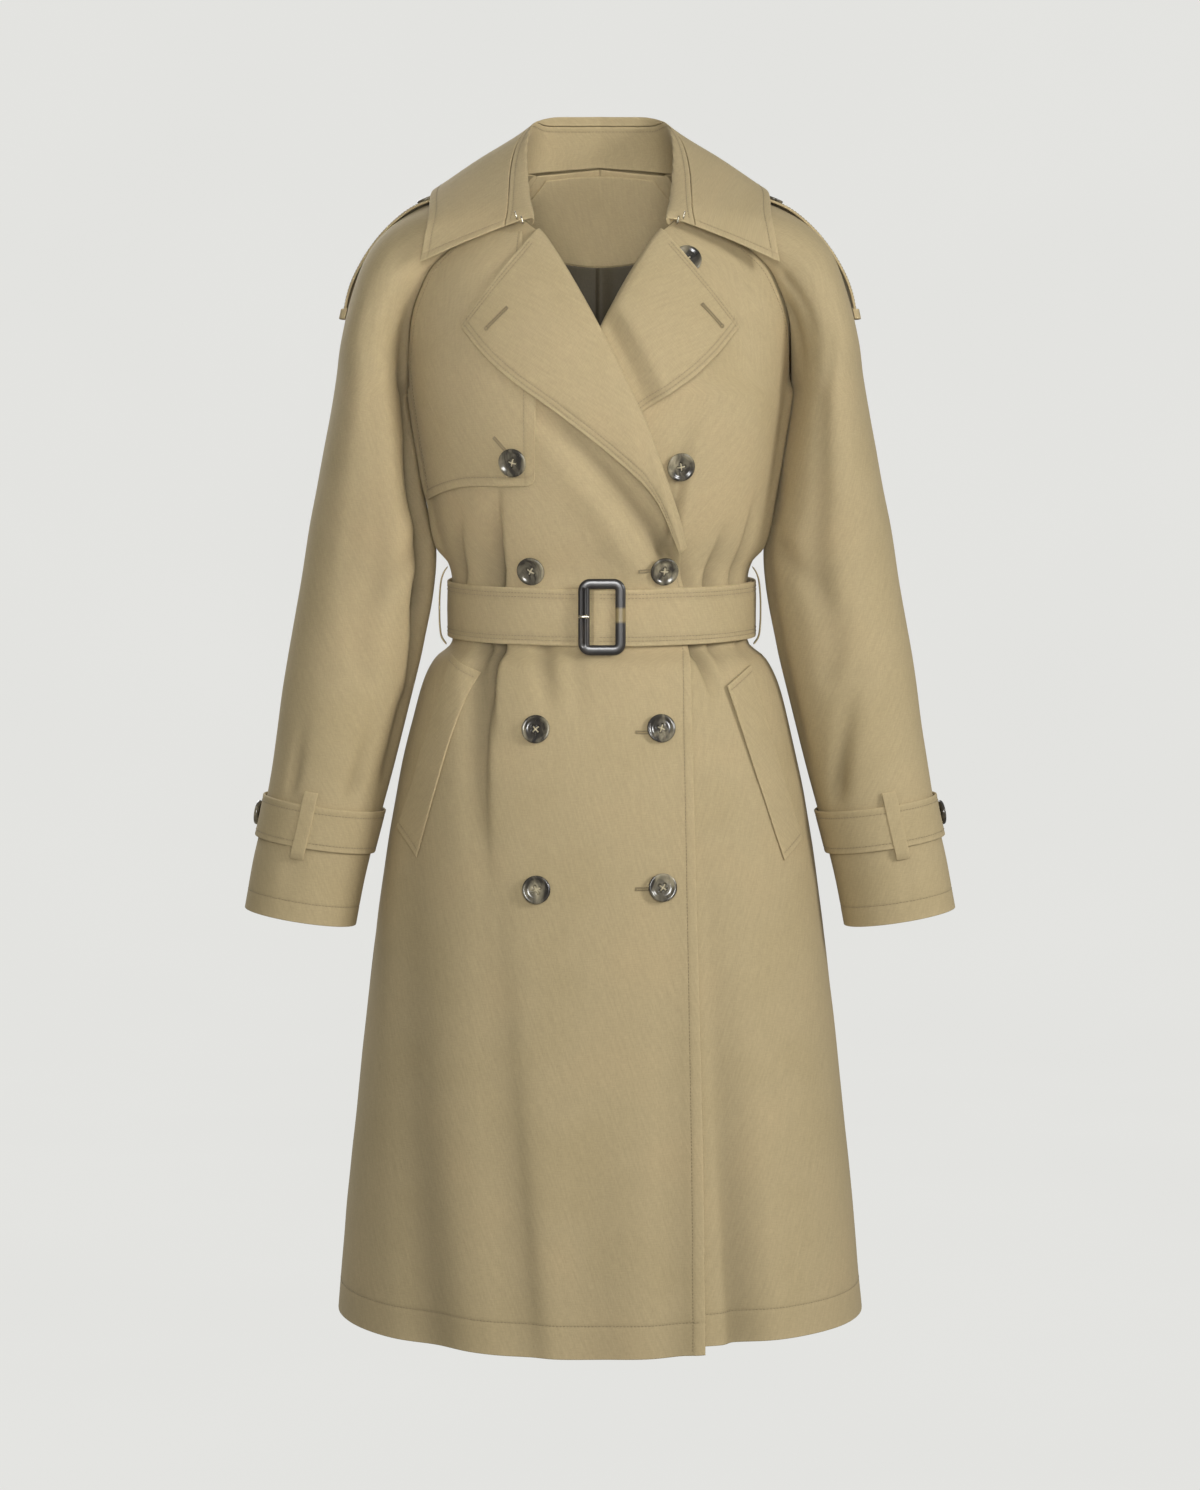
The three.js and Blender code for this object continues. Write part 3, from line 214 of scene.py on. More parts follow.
# Shares of a fold's line at which it starts, is full, begins to leave, and is gone
FADES = {"body": (-0.35, 0.1, 0.95, 1.4), "sleeve": (-0.3, 0.1, 0.9, 1.3)}

# Arithmetic on whole arrays


def smooth(start, end, value):
    """0 before start, 1 after end, and a soft S between."""
    t = np.clip((value - start) / (end - start), 0, 1)
    return t * t * (3 - 2 * t)


def faded(along, starts, full, leaves, gone):
    """1 between full and leaves, with a soft S up from starts before it and one down to gone after it."""
    return smooth(starts, full, along) * (1 - smooth(leaves, gone, along))


def mix(a, b, t):
    """a + t (b - a)."""
    return a + (b - a) * t


def read(rows, key, place, column):
    """Smooth value of a column at places of the key column.

    A cubic piece joins each two rows, and the slope at a row is that from the row before it to the one after.
    """
    keys, values = rows[key], rows[column]
    if keys[0] > keys[-1]:
        keys, values = keys[::-1], values[::-1]
    last = len(keys) - 1
    before = np.maximum(np.arange(last + 1) - 1, 0)
    after = np.minimum(np.arange(last + 1) + 1, last)
    slopes = (values[after] - values[before]) / (keys[after] - keys[before])
    place = np.asarray(place, dtype=float)
    i = np.clip(np.searchsorted(keys, place, side="right") - 1, 0, last - 1)
    span = keys[i + 1] - keys[i]
    t = np.clip((place - keys[i]) / span, 0, 1)
    rise = values[i + 1] - values[i]
    start, end = slopes[i] * span, slopes[i + 1] * span
    return values[i] + t * start + t * t * (3 * rise - 2 * start - end) + t**3 * (start + end - 2 * rise)


def point(x, y, z):
    """Three coordinates as one array of points."""
    return np.stack(np.broadcast_arrays(x, y, z), axis=-1).astype(float)


def unit(vectors):
    """Each vector over its own length."""
    return vectors / np.maximum(np.linalg.norm(vectors, axis=-1, keepdims=True), 1e-9)


def mirrored(side, points):
    """Points of the wearer's left, and for side -1 the same at -x."""
    return points * np.array([side, 1.0, 1.0])


def grid_normals(points):
    """Unit normals of a grid: across its rows times up its columns, from the points on each side."""
    across = np.gradient(points, axis=1)
    up = np.gradient(points, axis=0)
    return unit(np.cross(across, up))


WAVES = 9
WAVE_LENGTHS = (0.6, 2.2)   # shortest and longest wave, as shares of the size asked for


def ripple(a, b, seed, size, high=1.0):
    """Uneven softness of cloth: a sum of waves sin(w (a cos t + b sin t) + p), scaled to stand about high.

    Direction t, wave number w and phase p are drawn at random for each wave.
    """
    pick = np.random.default_rng(seed)
    total = np.zeros(np.broadcast(a, b).shape)
    for _ in range(WAVES):
        turn = pick.uniform(0, math.pi)
        wave = 2 * math.pi / (size * pick.uniform(*WAVE_LENGTHS))
        total += np.sin(wave * (a * math.cos(turn) + b * math.sin(turn)) + pick.uniform(0, 2 * math.pi))
    return total / (WAVES / 2) * high


# Distances from an edge, in millimetres, at which a grid has a line: fine at the edge and at stitching
EDGE_LINES = (0, 0.35, 1.0, 2.2, 4, 5.6, 7, 8, 9, 10.4, 13)
HEM_LINES = (0, 0.35, 1.0, 2.2, 6, 12, 18, 23, 26, 27.2, 28, 28.8, 30, 33)
SEAM_LINES = (0, 0.35, 0.9, 1.6, 2.6, 4.5, 6, 7, 8.5)
STRAP_LINES = EDGE_LINES[:8]
BELT_LINES = (0, 0.35, 1, 2.2, 3.6, 4.6, 5.6, 7, 8)
CUFF_LINES = (0, 0.35, 1, 2.2, 7, 13, 17, 19, 20, 21, 23)
WELT_LINES = (0, 0.35, 1, 2.2, 4)
RIM_LINES = (0, 0.35, 1, 2)


def spread(length, start, end, pitch=PITCH):
    """Shares from 0 to 1 of each length: distance / length near the ends, and even steps between.

    start and end give the distances of the lines near each end. The number of even steps comes from the
    longest length, so that the rows of a grid all have as many.
    """
    length = np.atleast_1d(np.asarray(length, dtype=float))[:, None]
    first = np.array(start)[None, :] / length
    last = 1 - np.array(end)[::-1][None, :] / length
    room = (1 - (start[-1] + end[-1]) / length.max()) * length.max()
    count = max(int(room / pitch), 1)
    t = np.linspace(0, 1, count + 1)[None, 1:-1]
    middle = mix(first[:, -1:], last[:, :1], t)
    return np.concatenate([first, middle, last], axis=1)


# The body, by angle from the middle of the front and height


def radius_at(angle, z):
    """Rounded section: |sin / half|^n + |cos / depth|^n to the power -1/n."""
    depth = np.where(np.cos(angle) > 0, read(SECTIONS, "z", z, "front"), read(SECTIONS, "z", z, "back"))
    half = read(SECTIONS, "z", z, "half")
    across = np.abs(np.sin(angle) / half) ** SQUARENESS
    ahead = np.abs(np.cos(angle) / depth) ** SQUARENESS
    return (across + ahead) ** (-1 / SQUARENESS)


def angle_at(x, z, on_back=False):
    """Angle at which the body has a given x: of the point x, depth (1 - |x / half|^n)^(1/n)."""
    share = np.minimum(np.abs(x) / read(SECTIONS, "z", z, "half"), 0.9999)
    depth = -read(SECTIONS, "z", z, "back") if on_back else read(SECTIONS, "z", z, "front")
    return np.arctan2(x, depth * (1 - share**SQUARENESS) ** (1 / SQUARENESS))


def hull(angle, z, out=0.0):
    """Point of the smooth body moved out: r sin, -r cos and z, with r the section's radius and out."""
    r = radius_at(angle, z) + out
    return point(r * np.sin(angle), -r * np.cos(angle), z)


def crease_depth(angle, z, folds, on_back):
    """Sum of soft troughs, each deep exp(-(distance from its line / width)^2).

    A trough has a width of its own on each side. Its line runs straight in angle from its start to its end,
    and deep goes smoothly from its first value to its last.
    """
    depth = np.zeros(np.broadcast(angle, z).shape)
    girth = radius_at(angle, z)
    for x0, z0, x1, z1, left, right, deep0, deep1 in zip(*folds.values()):
        along = (z0 - z) / (z0 - z1)
        start = float(angle_at(x0, z0, on_back))
        end = float(angle_at(x1, z1, on_back))
        if on_back:
            start, end = start % (2 * math.pi), end % (2 * math.pi)
        middle = mix(start, end, np.clip(along, -0.4, 1.4))
        turn = np.arctan2(np.sin(angle - middle), np.cos(angle - middle))
        away = turn * girth * (-1 if on_back else 1)
        width = np.where(away < 0, left, right)
        deep = mix(deep0, deep1, smooth(0, 1, along)) * faded(along, *FADES["body"])
        depth += deep * np.exp(-((away / width) ** 2))
    return depth


def fold_depth(angle, z):
    """Depth of the body's folds: the back's troughs where it faces back, and the front's elsewhere."""
    at_back = crease_depth(angle, z, BACK_FOLDS, True)
    at_front = crease_depth(angle, z, FRONT_FOLDS, False)
    return np.where(np.cos(angle) < 0, at_back, at_front)


SETTLED = 0.6           # how far the cloth hangs inside the solids' surface
UNEVEN_MOST = 1.2
UNEVEN_SHARE = 0.5


def band(z, middle, half):
    """1 at a height and near it, falling fast past half: exp(-((z - middle) / half)^4)."""
    return np.exp(-(((z - middle) / half) ** 4))


def folded(angle, z, out=0.0, seed=3):
    """The body with its gathered folds pressed in and a slight unevenness, which dies out under the belt."""
    beside_belt = 1 - band(z, -395, 42)
    flattened = 1 - 0.6 * band(z, -408, 26)
    around = angle * GIRTH
    uneven = ripple(around, z, seed, 90, 0.9) + ripple(around, z, seed + 1, 34, 0.22)
    soft = np.clip(uneven, -UNEVEN_MOST, UNEVEN_MOST) * UNEVEN_SHARE * beside_belt
    return hull(angle, z, out - fold_depth(angle, z) * flattened - SETTLED - soft)


# Meshes


def signed_volume(points, faces):
    """Six times the volume inside: the sum of a . (b x c) over the faces, negative if they point inwards."""
    a, b, c = (points[faces[:, k]] for k in (0, 1, 2))
    total = np.einsum("ij,ij->i", a, np.cross(b, c)).sum()
    if faces.shape[1] == 4:
        d = points[faces[:, 3]]
        total += np.einsum("ij,ij->i", a, np.cross(c, d)).sum()
    return total


def make(name, points, faces, uv=None, shade=None, sharp=60):
    """A mesh object from points in millimetres and faces as one array of rows of three or four."""
    if signed_volume(points, faces) < 0:
        faces = faces[:, ::-1]
    count, corners = faces.shape
    mesh = bpy.data.meshes.new(name)
    mesh.vertices.add(len(points))
    mesh.vertices.foreach_set("co", (points / 1000).ravel())
    mesh.loops.add(count * corners)
    mesh.loops.foreach_set("vertex_index", np.ascontiguousarray(faces, dtype=np.int32).ravel())
    mesh.polygons.add(count)
    mesh.polygons.foreach_set("loop_start", np.arange(0, count * corners, corners, dtype=np.int32))
    mesh.update(calc_edges=True)
    mesh.polygons.foreach_set("use_smooth", np.ones(count, dtype=bool))
    mesh.set_sharp_from_angle(angle=math.radians(sharp))
    if uv is not None:
        layer = mesh.uv_layers.new(name="cut")
        layer.data.foreach_set("uv", (uv[faces.ravel()] / 1000).astype(np.float32).ravel())
    if shade is not None:
        attribute = mesh.attributes.new("shade", "FLOAT", "POINT")
        attribute.data.foreach_set("value", shade.astype(np.float32))
    mesh.validate()
    piece = bpy.data.objects.new(name, mesh)
    bpy.context.scene.collection.objects.link(piece)
    return piece


def grid_faces(rows, columns, wrap_rows=False, wrap_columns=False):
    """Quads of a grid of points numbered along its rows."""
    j = np.arange(rows if wrap_rows else rows - 1)[:, None]
    i = np.arange(columns if wrap_columns else columns - 1)[None, :]
    j2, i2 = (j + 1) % rows, (i + 1) % columns
    corners = [j * columns + i, j * columns + i2, j2 * columns + i2, j2 * columns + i]
    return np.stack([np.broadcast_to(c, (j.size, i.size)) for c in corners], axis=-1).reshape(-1, 4)


FOLD_SHADE_FROM = 1.0       # depth of fold at which painted shade begins to darken the cloth
FOLD_SHADE_DARKENS = 0.12   # and how much more painted shade for each millimetre more
EDGE_PALES = 0.5        # how much paler cloth wears at its edge
GROOVE_SHADE_DARKENS = 1.1     # and how much painted shade darkens it for each millimetre that a stitch or seam draws it in


def cut_lengths(points):
    """Flat place of each point of a cloth grid: the sum of the steps along its row, and along its column."""
    along_row = np.linalg.norm(np.diff(points, axis=1, prepend=points[:, :1]), axis=-1).cumsum(axis=1)
    along_column = np.linalg.norm(np.diff(points, axis=0, prepend=points[:1]), axis=-1).cumsum(axis=0)
    return along_row, along_column


def cloth(name, outer, thickness=CLOTH, side=1, grooves=0.0, fold_shade_depth=0.0):
    """A closed wall of cloth: its outer face is a grid of points, and its inner face those less t n.

    t is the thickness and n the normal, and both faces close in on each other at the rim in a quarter circle.
    grooves is how deep each point is pressed in by stitching, and painted shade darkens the cloth there. The
    last argument is how deep it already lies in a fold, and painted shade darkens it there too.
    """
    rows, columns = outer.shape[:2]
    outward = grid_normals(outer) * side
    along_row, along_column = cut_lengths(outer)
    from_edge = np.minimum(
        np.minimum(along_row, along_row[:, -1:] - along_row),
        np.minimum(along_column, along_column[-1:] - along_column),
    )
    half = thickness / 2
    close = np.clip(1 - from_edge / half, 0, 1)
    inset = (half * 0.8 * (1 - np.sqrt(1 - close**2)))[..., None]
    pressed = np.broadcast_to(grooves, (rows, columns))[..., None]
    front = outer - outward * (inset + pressed)
    back = outer - outward * (thickness - inset)
    faces = grid_faces(rows, columns)
    rim = np.concatenate([
        np.arange(columns),
        np.arange(1, rows) * columns + columns - 1,
        (rows - 1) * columns + np.arange(columns - 2, -1, -1),
        np.arange(rows - 2, 0, -1) * columns,
    ])
    after = np.roll(rim, -1)
    under = rows * columns
    sides = np.stack([after, rim, rim + under, after + under], axis=1)
    points = np.concatenate([front.reshape(-1, 3), back.reshape(-1, 3)])
    quads = np.concatenate([faces, faces[:, ::-1] + under, sides])
    uv = np.stack([along_row - along_row.mean(), along_column], axis=-1).reshape(-1, 2)
    # painted shade in the folds, darker the deeper the fold
    in_shade = FOLD_SHADE_DARKENS * np.maximum(fold_shade_depth - FOLD_SHADE_FROM, 0)
    # paler edges where the cloth wears, less painted shade in stitch and seam grooves and in folds
    worn = EDGE_PALES * np.exp(-from_edge / 1.2) - GROOVE_SHADE_DARKENS * pressed[..., 0] - in_shade
    piece = make(name, points, quads, np.tile(uv, (2, 1)), np.tile(worn.ravel(), 2))
    return {"piece": piece, "points": front, "normals": outward, "flat": (along_row, along_column)}


def groove(distance, *places, deep=0.35, wide=0.9):
    """How far cloth is pulled in by stitch lines: the sum of deep exp(-((distance - place) / wide)^2)."""
    return sum(deep * np.exp(-(((distance - place) / wide) ** 2)) for place in places)


def seam_dip(distance, deep=SEAM_DIP, wide=1.1):
    """How far cloth is pulled in beside a seam: deep exp(-distance / wide)."""
    return deep * np.exp(-distance / wide)


def along_run(places, run, values):
    """Points at places along a run, straight between the run's own points."""
    return np.stack([np.interp(places, run, values[:, k]) for k in range(3)], axis=-1)


def joined(parts):
    """Several pairs of points and faces as one."""
    points, faces, total = [], [], 0
    for part_points, part_faces in parts:
        points.append(part_points)
        faces.append(part_faces + total)
        total += len(part_points)
    return np.concatenate(points), np.concatenate(faces)


def short_threads(tail, head, across, rise, radius, stations, ring):
    """Points and faces of a short thread from each tail to its head, with a ring of points at each station.

    A station is a share of the way, a size and a height over the line. A corner (a, b) of its ring lies
    radius size (a across + b rise) from the line.
    """
    rows = []
    for share, size, height in stations:
        centre = mix(tail, head, share) + rise * height
        rows += [centre + (across * a + rise * b) * radius * size for a, b in ring]
    corners = len(ring) * len(stations)
    ends = np.array([np.arange(len(ring))[::-1], np.arange(corners - len(ring), corners)])
    one = np.concatenate([grid_faces(len(stations), len(ring), wrap_columns=True), ends])
    faces = one[None] + (np.arange(len(tail)) * corners)[:, None, None]
    return np.stack(rows, axis=1).reshape(-1, 3), faces.reshape(-1, 4)


STITCH_LENGTH = 2.3
STITCH_RADIUS = 0.27
STITCH_LIFT = 0.12      # height of the thread's middle over the cloth, and what share of its radius it rises
STITCH_SHAPE = ((0.0, 0.15, -0.5), (0.2, 1.0, 0.6), (0.8, 1.0, 0.6), (1.0, 0.15, -0.5))
STITCH_RING = ((1, 0), (0, 1), (-1, 0), (0, -0.6))


def stitches(points, normals):
    """The stitches along a line: even threads that dive into the cloth at both ends."""
    steps = np.linalg.norm(np.diff(points, axis=0), axis=1)
    run = np.concatenate([[0], steps.cumsum()])
    count = int((run[-1] - STITCH_LENGTH) / STITCH)
    if count < 1:
        return np.zeros((0, 3)), np.zeros((0, 4), dtype=int)
    starts = np.arange(count) * STITCH + (run[-1] - count * STITCH) / 2
    tail, head = along_run(starts, run, points), along_run(starts + STITCH_LENGTH, run, points)
    up = unit(along_run(starts + STITCH_LENGTH / 2, run, normals))
    across = unit(np.cross(unit(head - tail), up))
    stations = [(share, size, STITCH_LIFT + STITCH_RADIUS * rise) for share, size, rise in STITCH_SHAPE]
    return short_threads(tail, head, across, up, STITCH_RADIUS, stations, STITCH_RING)


def row_of(made, index, start=0, end=None):
    """Points and normals along a row of a cloth grid."""
    return made["points"][index, start:end], made["normals"][index, start:end]


def column_of(made, index, start=0, end=None):
    """Points and normals up a column of a cloth grid."""
    return made["points"][start:end, index], made["normals"][start:end, index]


def fan(ring, hub, turned=False):
    """Faces from a closed ring of points to a hub point, and turned the other way round for the far end."""
    after = np.roll(ring, -1)
    first, second = (ring, after) if turned else (after, ring)
    return np.stack([first, second, np.full(len(ring), hub), np.full(len(ring), hub)], axis=1)


def sweep(centres, section_x, section_y, across, up, closed=True, cap=False):
    """A section carried along a path: centre + x across + y up, with both axes given at each place."""
    aside = across[:, None] * section_x[None, :, None]
    ring = centres[:, None] + aside + up[:, None] * section_y[None, :, None]
    rows, columns = ring.shape[:2]
    faces = grid_faces(rows, columns, wrap_rows=closed, wrap_columns=True)
    points = ring.reshape(-1, 3)
    if cap:
        ring, hub = np.arange(columns), rows * columns
        points = np.concatenate([points, centres[:1], centres[-1:]])
        faces = np.concatenate([faces, fan(ring, hub), fan(ring + hub - columns, hub + 1, turned=True)])
    return points, faces


# Body panels


def armhole_angle(rows, z):
    """Angle of a raglan seam at a height, and of the side seam below the armpit."""
    return np.radians(np.where(z < ARMPIT, 90, read(rows, "z", z, "angle")))


def front_reach(z):
    """How far past the middle the outer front's edge reaches."""
    return read(FRONT_EDGE, "z", z, "x")


def under_reach(z):
    """The same of the front beneath, which reaches less far below the break."""
    return np.where(z < BREAK, np.minimum(front_reach(z), UNDERLAP_REACH), front_reach(z))


def flat_depth(x, z):
    """How far the outer front lies inside the smooth body: nowhere."""
    return np.zeros(np.broadcast(x, z).shape)


UNDER = {"full_x": 84, "none_x": 150, "waist": 4.5, "chest": 9}


def under_depth(x, z):
    """How far the front beneath lies inside the smooth body: more at the chest, and nothing by the side."""
    beneath = smooth(UNDER["none_x"], UNDER["full_x"], x)
    chest = UNDER["chest"] * smooth(-60, -125, z)
    return beneath * mix(UNDER["waist"], chest, smooth(-400, -320, z))


GAP_ANGLE = SEAM_GAP / 2 / GIRTH
RIDGE = {"high": 5.6, "away": 26, "wide": 9}


def sleeve_ridge(angle, z):
    """A soft ridge beside the side seam, next to the sleeve: high exp(-((distance - away) / wide)^2)."""
    from_side = (math.pi / 2 - angle) * SIDE_GIRTH
    across = RIDGE["high"] * np.exp(-(((from_side - RIDGE["away"]) / RIDGE["wide"]) ** 2))
    return across * smooth(-356, -340, z) * smooth(-188, -202, z)


ALLOWANCE = {"thick": 0.5, "inside": 2.7, "raglan_half": 6.5, "long_half": 9, "below_armpit": 12}


def seam_allowance(name, side, rows, on_back):
    """The raglan seam's turned-in edges: a strip inside it, at its angle and a little to each side."""
    lowest = rows["z"][0] + (1 if on_back else -ALLOWANCE["below_armpit"])
    z = np.linspace(lowest, rows["z"][-1] - 1, 50)[:, None]
    aside = np.linspace(-ALLOWANCE["raglan_half"], ALLOWANCE["raglan_half"], 6)[None, :] / GIRTH
    angle = armhole_angle(rows, z) + aside
    around = math.pi - angle if on_back else angle
    outward = 1 if on_back == (side > 0) else -1
    return cloth(name, hull(side * around, z, -ALLOWANCE["inside"]), ALLOWANCE["thick"], outward)


def long_allowance(name, middle, top):
    """The same inside a seam that runs up from the hem at one angle, as a strip that follows the folds."""
    z = np.linspace(HEM_SIDE + 4, top, 110)[:, None]
    aside = np.linspace(-ALLOWANCE["long_half"], ALLOWANCE["long_half"], 7)[None, :] / GIRTH
    outer = folded(middle - aside + 0 * z, z + 0 * aside, -ALLOWANCE["inside"], BACK_SEED)
    return cloth(name, outer, ALLOWANCE["thick"], side=-1)


BACK_SEED = 11
SLOPE_FROM = -80        # height above which the neck edge of a front slopes
SLOPE_TOP = -61
DIP_FROM = -900         # height below which the hem begins to hang lower in the middle


def front_panel(name, side, dip, reach_at, inside):
    """A front: u runs from the raglan and side seams (0) to the front edge (1), and v is the height.

    Its angle is mixed from the seam's to the edge's by u, and the body with its folds gives the points.
    """
    tall = FRONT_TOP - HEM_SIDE
    v = (HEM_SIDE + spread(tall, HEM_LINES, SEAM_LINES)[0] * tall)[:, None]
    outer_angle = armhole_angle(FRONT_ARMHOLE, v) - GAP_ANGLE * 2
    sloped = mix(SLOPE_FROM, SLOPE_TOP, smooth(SLOPE_FROM, FRONT_TOP, v))
    inner_z = np.where(v < SLOPE_FROM, v, sloped)
    inner_angle = -angle_at(reach_at(inner_z), inner_z)
    width = (outer_angle - inner_angle)[:, 0] * GIRTH
    u = spread(width, SEAM_LINES, EDGE_LINES, FRONT_PITCH)
    angle = mix(outer_angle, inner_angle, u)
    lowered = np.where(v < DIP_FROM, dip * np.cos(angle) ** 2 * smooth(DIP_FROM, HEM_SIDE, v), 0)
    z = mix(v, inner_z, u) - lowered
    x = hull(angle, z)[..., 0]
    outer = folded(side * angle, z, sleeve_ridge(angle, z) - inside(x, z))
    from_seam, from_edge = u * width[:, None], (1 - u) * width[:, None]
    above_hem = v - HEM_SIDE + u * 0
    pressed = groove(from_edge, EDGE_STITCH) * (v < BREAK) + groove(above_hem, HEM_TURN)
    pressed += seam_dip(from_seam)
    # the fold depth also darkens the front with painted shade
    return cloth(name, outer, side=-side, grooves=pressed, fold_shade_depth=fold_depth(side * angle, z))


def back_panel(name, side):
    """A back, made like a front: u runs from the raglan and side seams (0) to the centre-back seam (1)."""
    hem = HEM_SIDE - 1
    tall = BACK_TOP - hem
    v = (hem + spread(tall, HEM_LINES, SEAM_LINES)[0] * tall)[:, None]
    outer_angle = armhole_angle(BACK_ARMHOLE, v) - GAP_ANGLE * 2
    width = outer_angle[:, 0] * GIRTH
    u = spread(width, SEAM_LINES, SEAM_LINES)
    angle = mix(outer_angle, GAP_ANGLE * 2, u)
    inner_z = np.where(v > ARMPIT, mix(ARMPIT, 0, (v - ARMPIT) / (BACK_TOP - ARMPIT)), v)
    z = mix(v, inner_z, u)
    around = side * (math.pi - angle)
    outer = folded(around, z, sleeve_ridge(angle, z), BACK_SEED)
    from_seam, from_middle = u * width[:, None], (1 - u) * width[:, None]
    pressed = groove(v - hem + u * 0, HEM_TURN)
    pressed += seam_dip(from_seam) + seam_dip(from_middle)
    # the fold depth also darkens the back with painted shade
    return cloth(name, outer, side=side, grooves=pressed, fold_shade_depth=fold_depth(around, z))


# Sleeves: around runs from the back seam (-1) over the ridge (0) to the front seam (1)


def sleeve_ring(along):
    """Front and back seam points, ridge point and depth of the sleeve's section at each place along it."""
    tube = {name: read(SLEEVE, "at", along, name) for name in SLEEVE}
    head = {name: read(SLEEVE_HEAD, "at", along, name) for name in SLEEVE_HEAD}
    low = along <= SLEEVE_HEAD["at"][0]
    choose = low[..., None]
    inner = point(tube["inner_x"], tube["y"], tube["inner_z"])
    blend = smooth(SLEEVE_HEAD["at"][0], SLEEVE_HEAD["at"][2], along)
    shift = mix(SLEEVE["inner_x"][-1] - read(SECTIONS, "z", ARMPIT, "half"), 0, blend)
    front = hull(armhole_angle(FRONT_ARMHOLE, head["front_z"]), head["front_z"], shift)
    back = hull(math.pi - armhole_angle(BACK_ARMHOLE, head["back_z"]), head["back_z"], shift)
    ridge_low = point(tube["ridge_x"], tube["y"], tube["ridge_z"])
    ridge_high = point(head["ridge_x"], 0, head["ridge_z"])
    ridge = np.where(choose, ridge_low, ridge_high)
    deep = np.where(low, tube["deep"], head["deep"])
    return np.where(choose, inner, front), np.where(choose, inner, back), ridge, deep


def on_sleeve(around, along, out=0.0):
    """Point of the arc through both seam points and the ridge: centre + rise cos + across deep sin.

    The turn runs from one seam (around -1) over the ridge (0) to the other (1).
    """
    around, along = np.broadcast_arrays(np.asarray(around, dtype=float), np.asarray(along, dtype=float))
    out = np.broadcast_to(out, around.shape)
    front, back, ridge, deep = sleeve_ring(along)
    chord = front - back
    half = np.linalg.norm(chord, axis=-1) / 2
    across = np.where((half > 0.5)[..., None], unit(chord), np.array([0.0, -1.0, 0.0]))
    reach = math.pi - np.arcsin(np.minimum(half / deep, 1))
    rise = (ridge - (front + back) / 2) / (1 - np.cos(reach))[..., None]
    centre = ridge - rise
    grown = rise + unit(rise) * out[..., None]
    turn = around * (reach - SEAM_GAP / 2 / deep)
    return centre + grown * np.cos(turn)[..., None] + across * (np.sin(turn) * (deep + out))[..., None]


def sleeve_crease(around, along, sleeve_side):
    """Sum of soft troughs along lines on the sleeve, each deep exp(-(distance from its line / wide)^2).

    The distance is in millimetres round and along the sleeve, laid out flat.
    """
    depth = np.zeros(np.broadcast(around, along).shape)
    for side, a0, l0, a1, l1, wide, deep0, deep1 in zip(*SLEEVE_FOLDS.values()):
        if side == -sleeve_side:
            continue
        run = np.array([(a1 - a0) * SLEEVE_GIRTH, (l1 - l0) * SLEEVE_LENGTH])
        size = np.hypot(*run)
        x, y = (around - a0) * SLEEVE_GIRTH, (along - l0) * SLEEVE_LENGTH
        t = (x * run[0] + y * run[1]) / size**2
        away = (x * run[1] - y * run[0]) / size
        deep = mix(deep0, deep1, np.clip(t, 0, 1)) * faded(t, *FADES["sleeve"])
        depth += deep * np.exp(-((away / wide) ** 2))
    return depth


SLEEVE_TOP_DEEP = 84    # depth of the sleeve's section above the armpit
HALF_TURN = 2.6         # length of the sleeve's arc from ridge to seam, in depths of its section
SLEEVE_SETTLED = 0.4
CUFF_STITCH = 20


def sleeve(name, side):
    """The whole sleeve tube from the cuff up, open along the underarm seam by the seam's gap."""
    along = spread(SLEEVE_LENGTH, CUFF_LINES, SEAM_LINES)[0][:, None]
    deep = np.where(along < SLEEVE_HEAD["at"][0], read(SLEEVE, "at", along, "deep"), SLEEVE_TOP_DEEP)
    around = spread(deep[:, 0] * (2 * HALF_TURN), SEAM_LINES, SEAM_LINES) * 2 - 1
    beside_strap = 1 - band(along, 0.13, 0.045)
    depth = sleeve_crease(around, along, side) * beside_strap * smooth(1.0, 0.88, along)
    x, y = around * SLEEVE_GIRTH, along * SLEEVE_LENGTH
    uneven = ripple(x, y, 21 + side, 80, 0.5) + ripple(x, y, 31, 30, 0.12)
    away_from_seam = 1 - np.exp(-((1 - np.abs(around)) * SLEEVE_GIRTH / 14))
    settled = depth + SLEEVE_SETTLED + uneven * 0.6 * beside_strap
    outer = on_sleeve(around, along, -settled * away_from_seam)
    from_seam = (1 - np.abs(around)) * deep * HALF_TURN
    pressed = seam_dip(from_seam) + groove(y, CUFF_STITCH)
    # the crease depth also darkens the sleeve with painted shade
    return cloth(name, mirrored(side, outer), side=-side, grooves=pressed, fold_shade_depth=depth)


# Lapels

LAPEL_LIFT = {"roll": 6.4, "middle": 7.8, "beneath": -4.2, "start": 1.6}
LAPEL_TIP = 6           # radius of the rounded tip
LAPEL_LENGTH = 330
ROLL_SHARE = 0.24       # share of u that the turn over the roll line takes
CURL_RADIUS = 14        # width under which a lapel is too narrow for a full roll


def beneath_outer(x, z):
    """Share of the left lapel that lies under the outer front."""
    reach = front_reach(z)
    return smooth(reach + 34, reach + 10, x) * smooth(-105, -150, z)


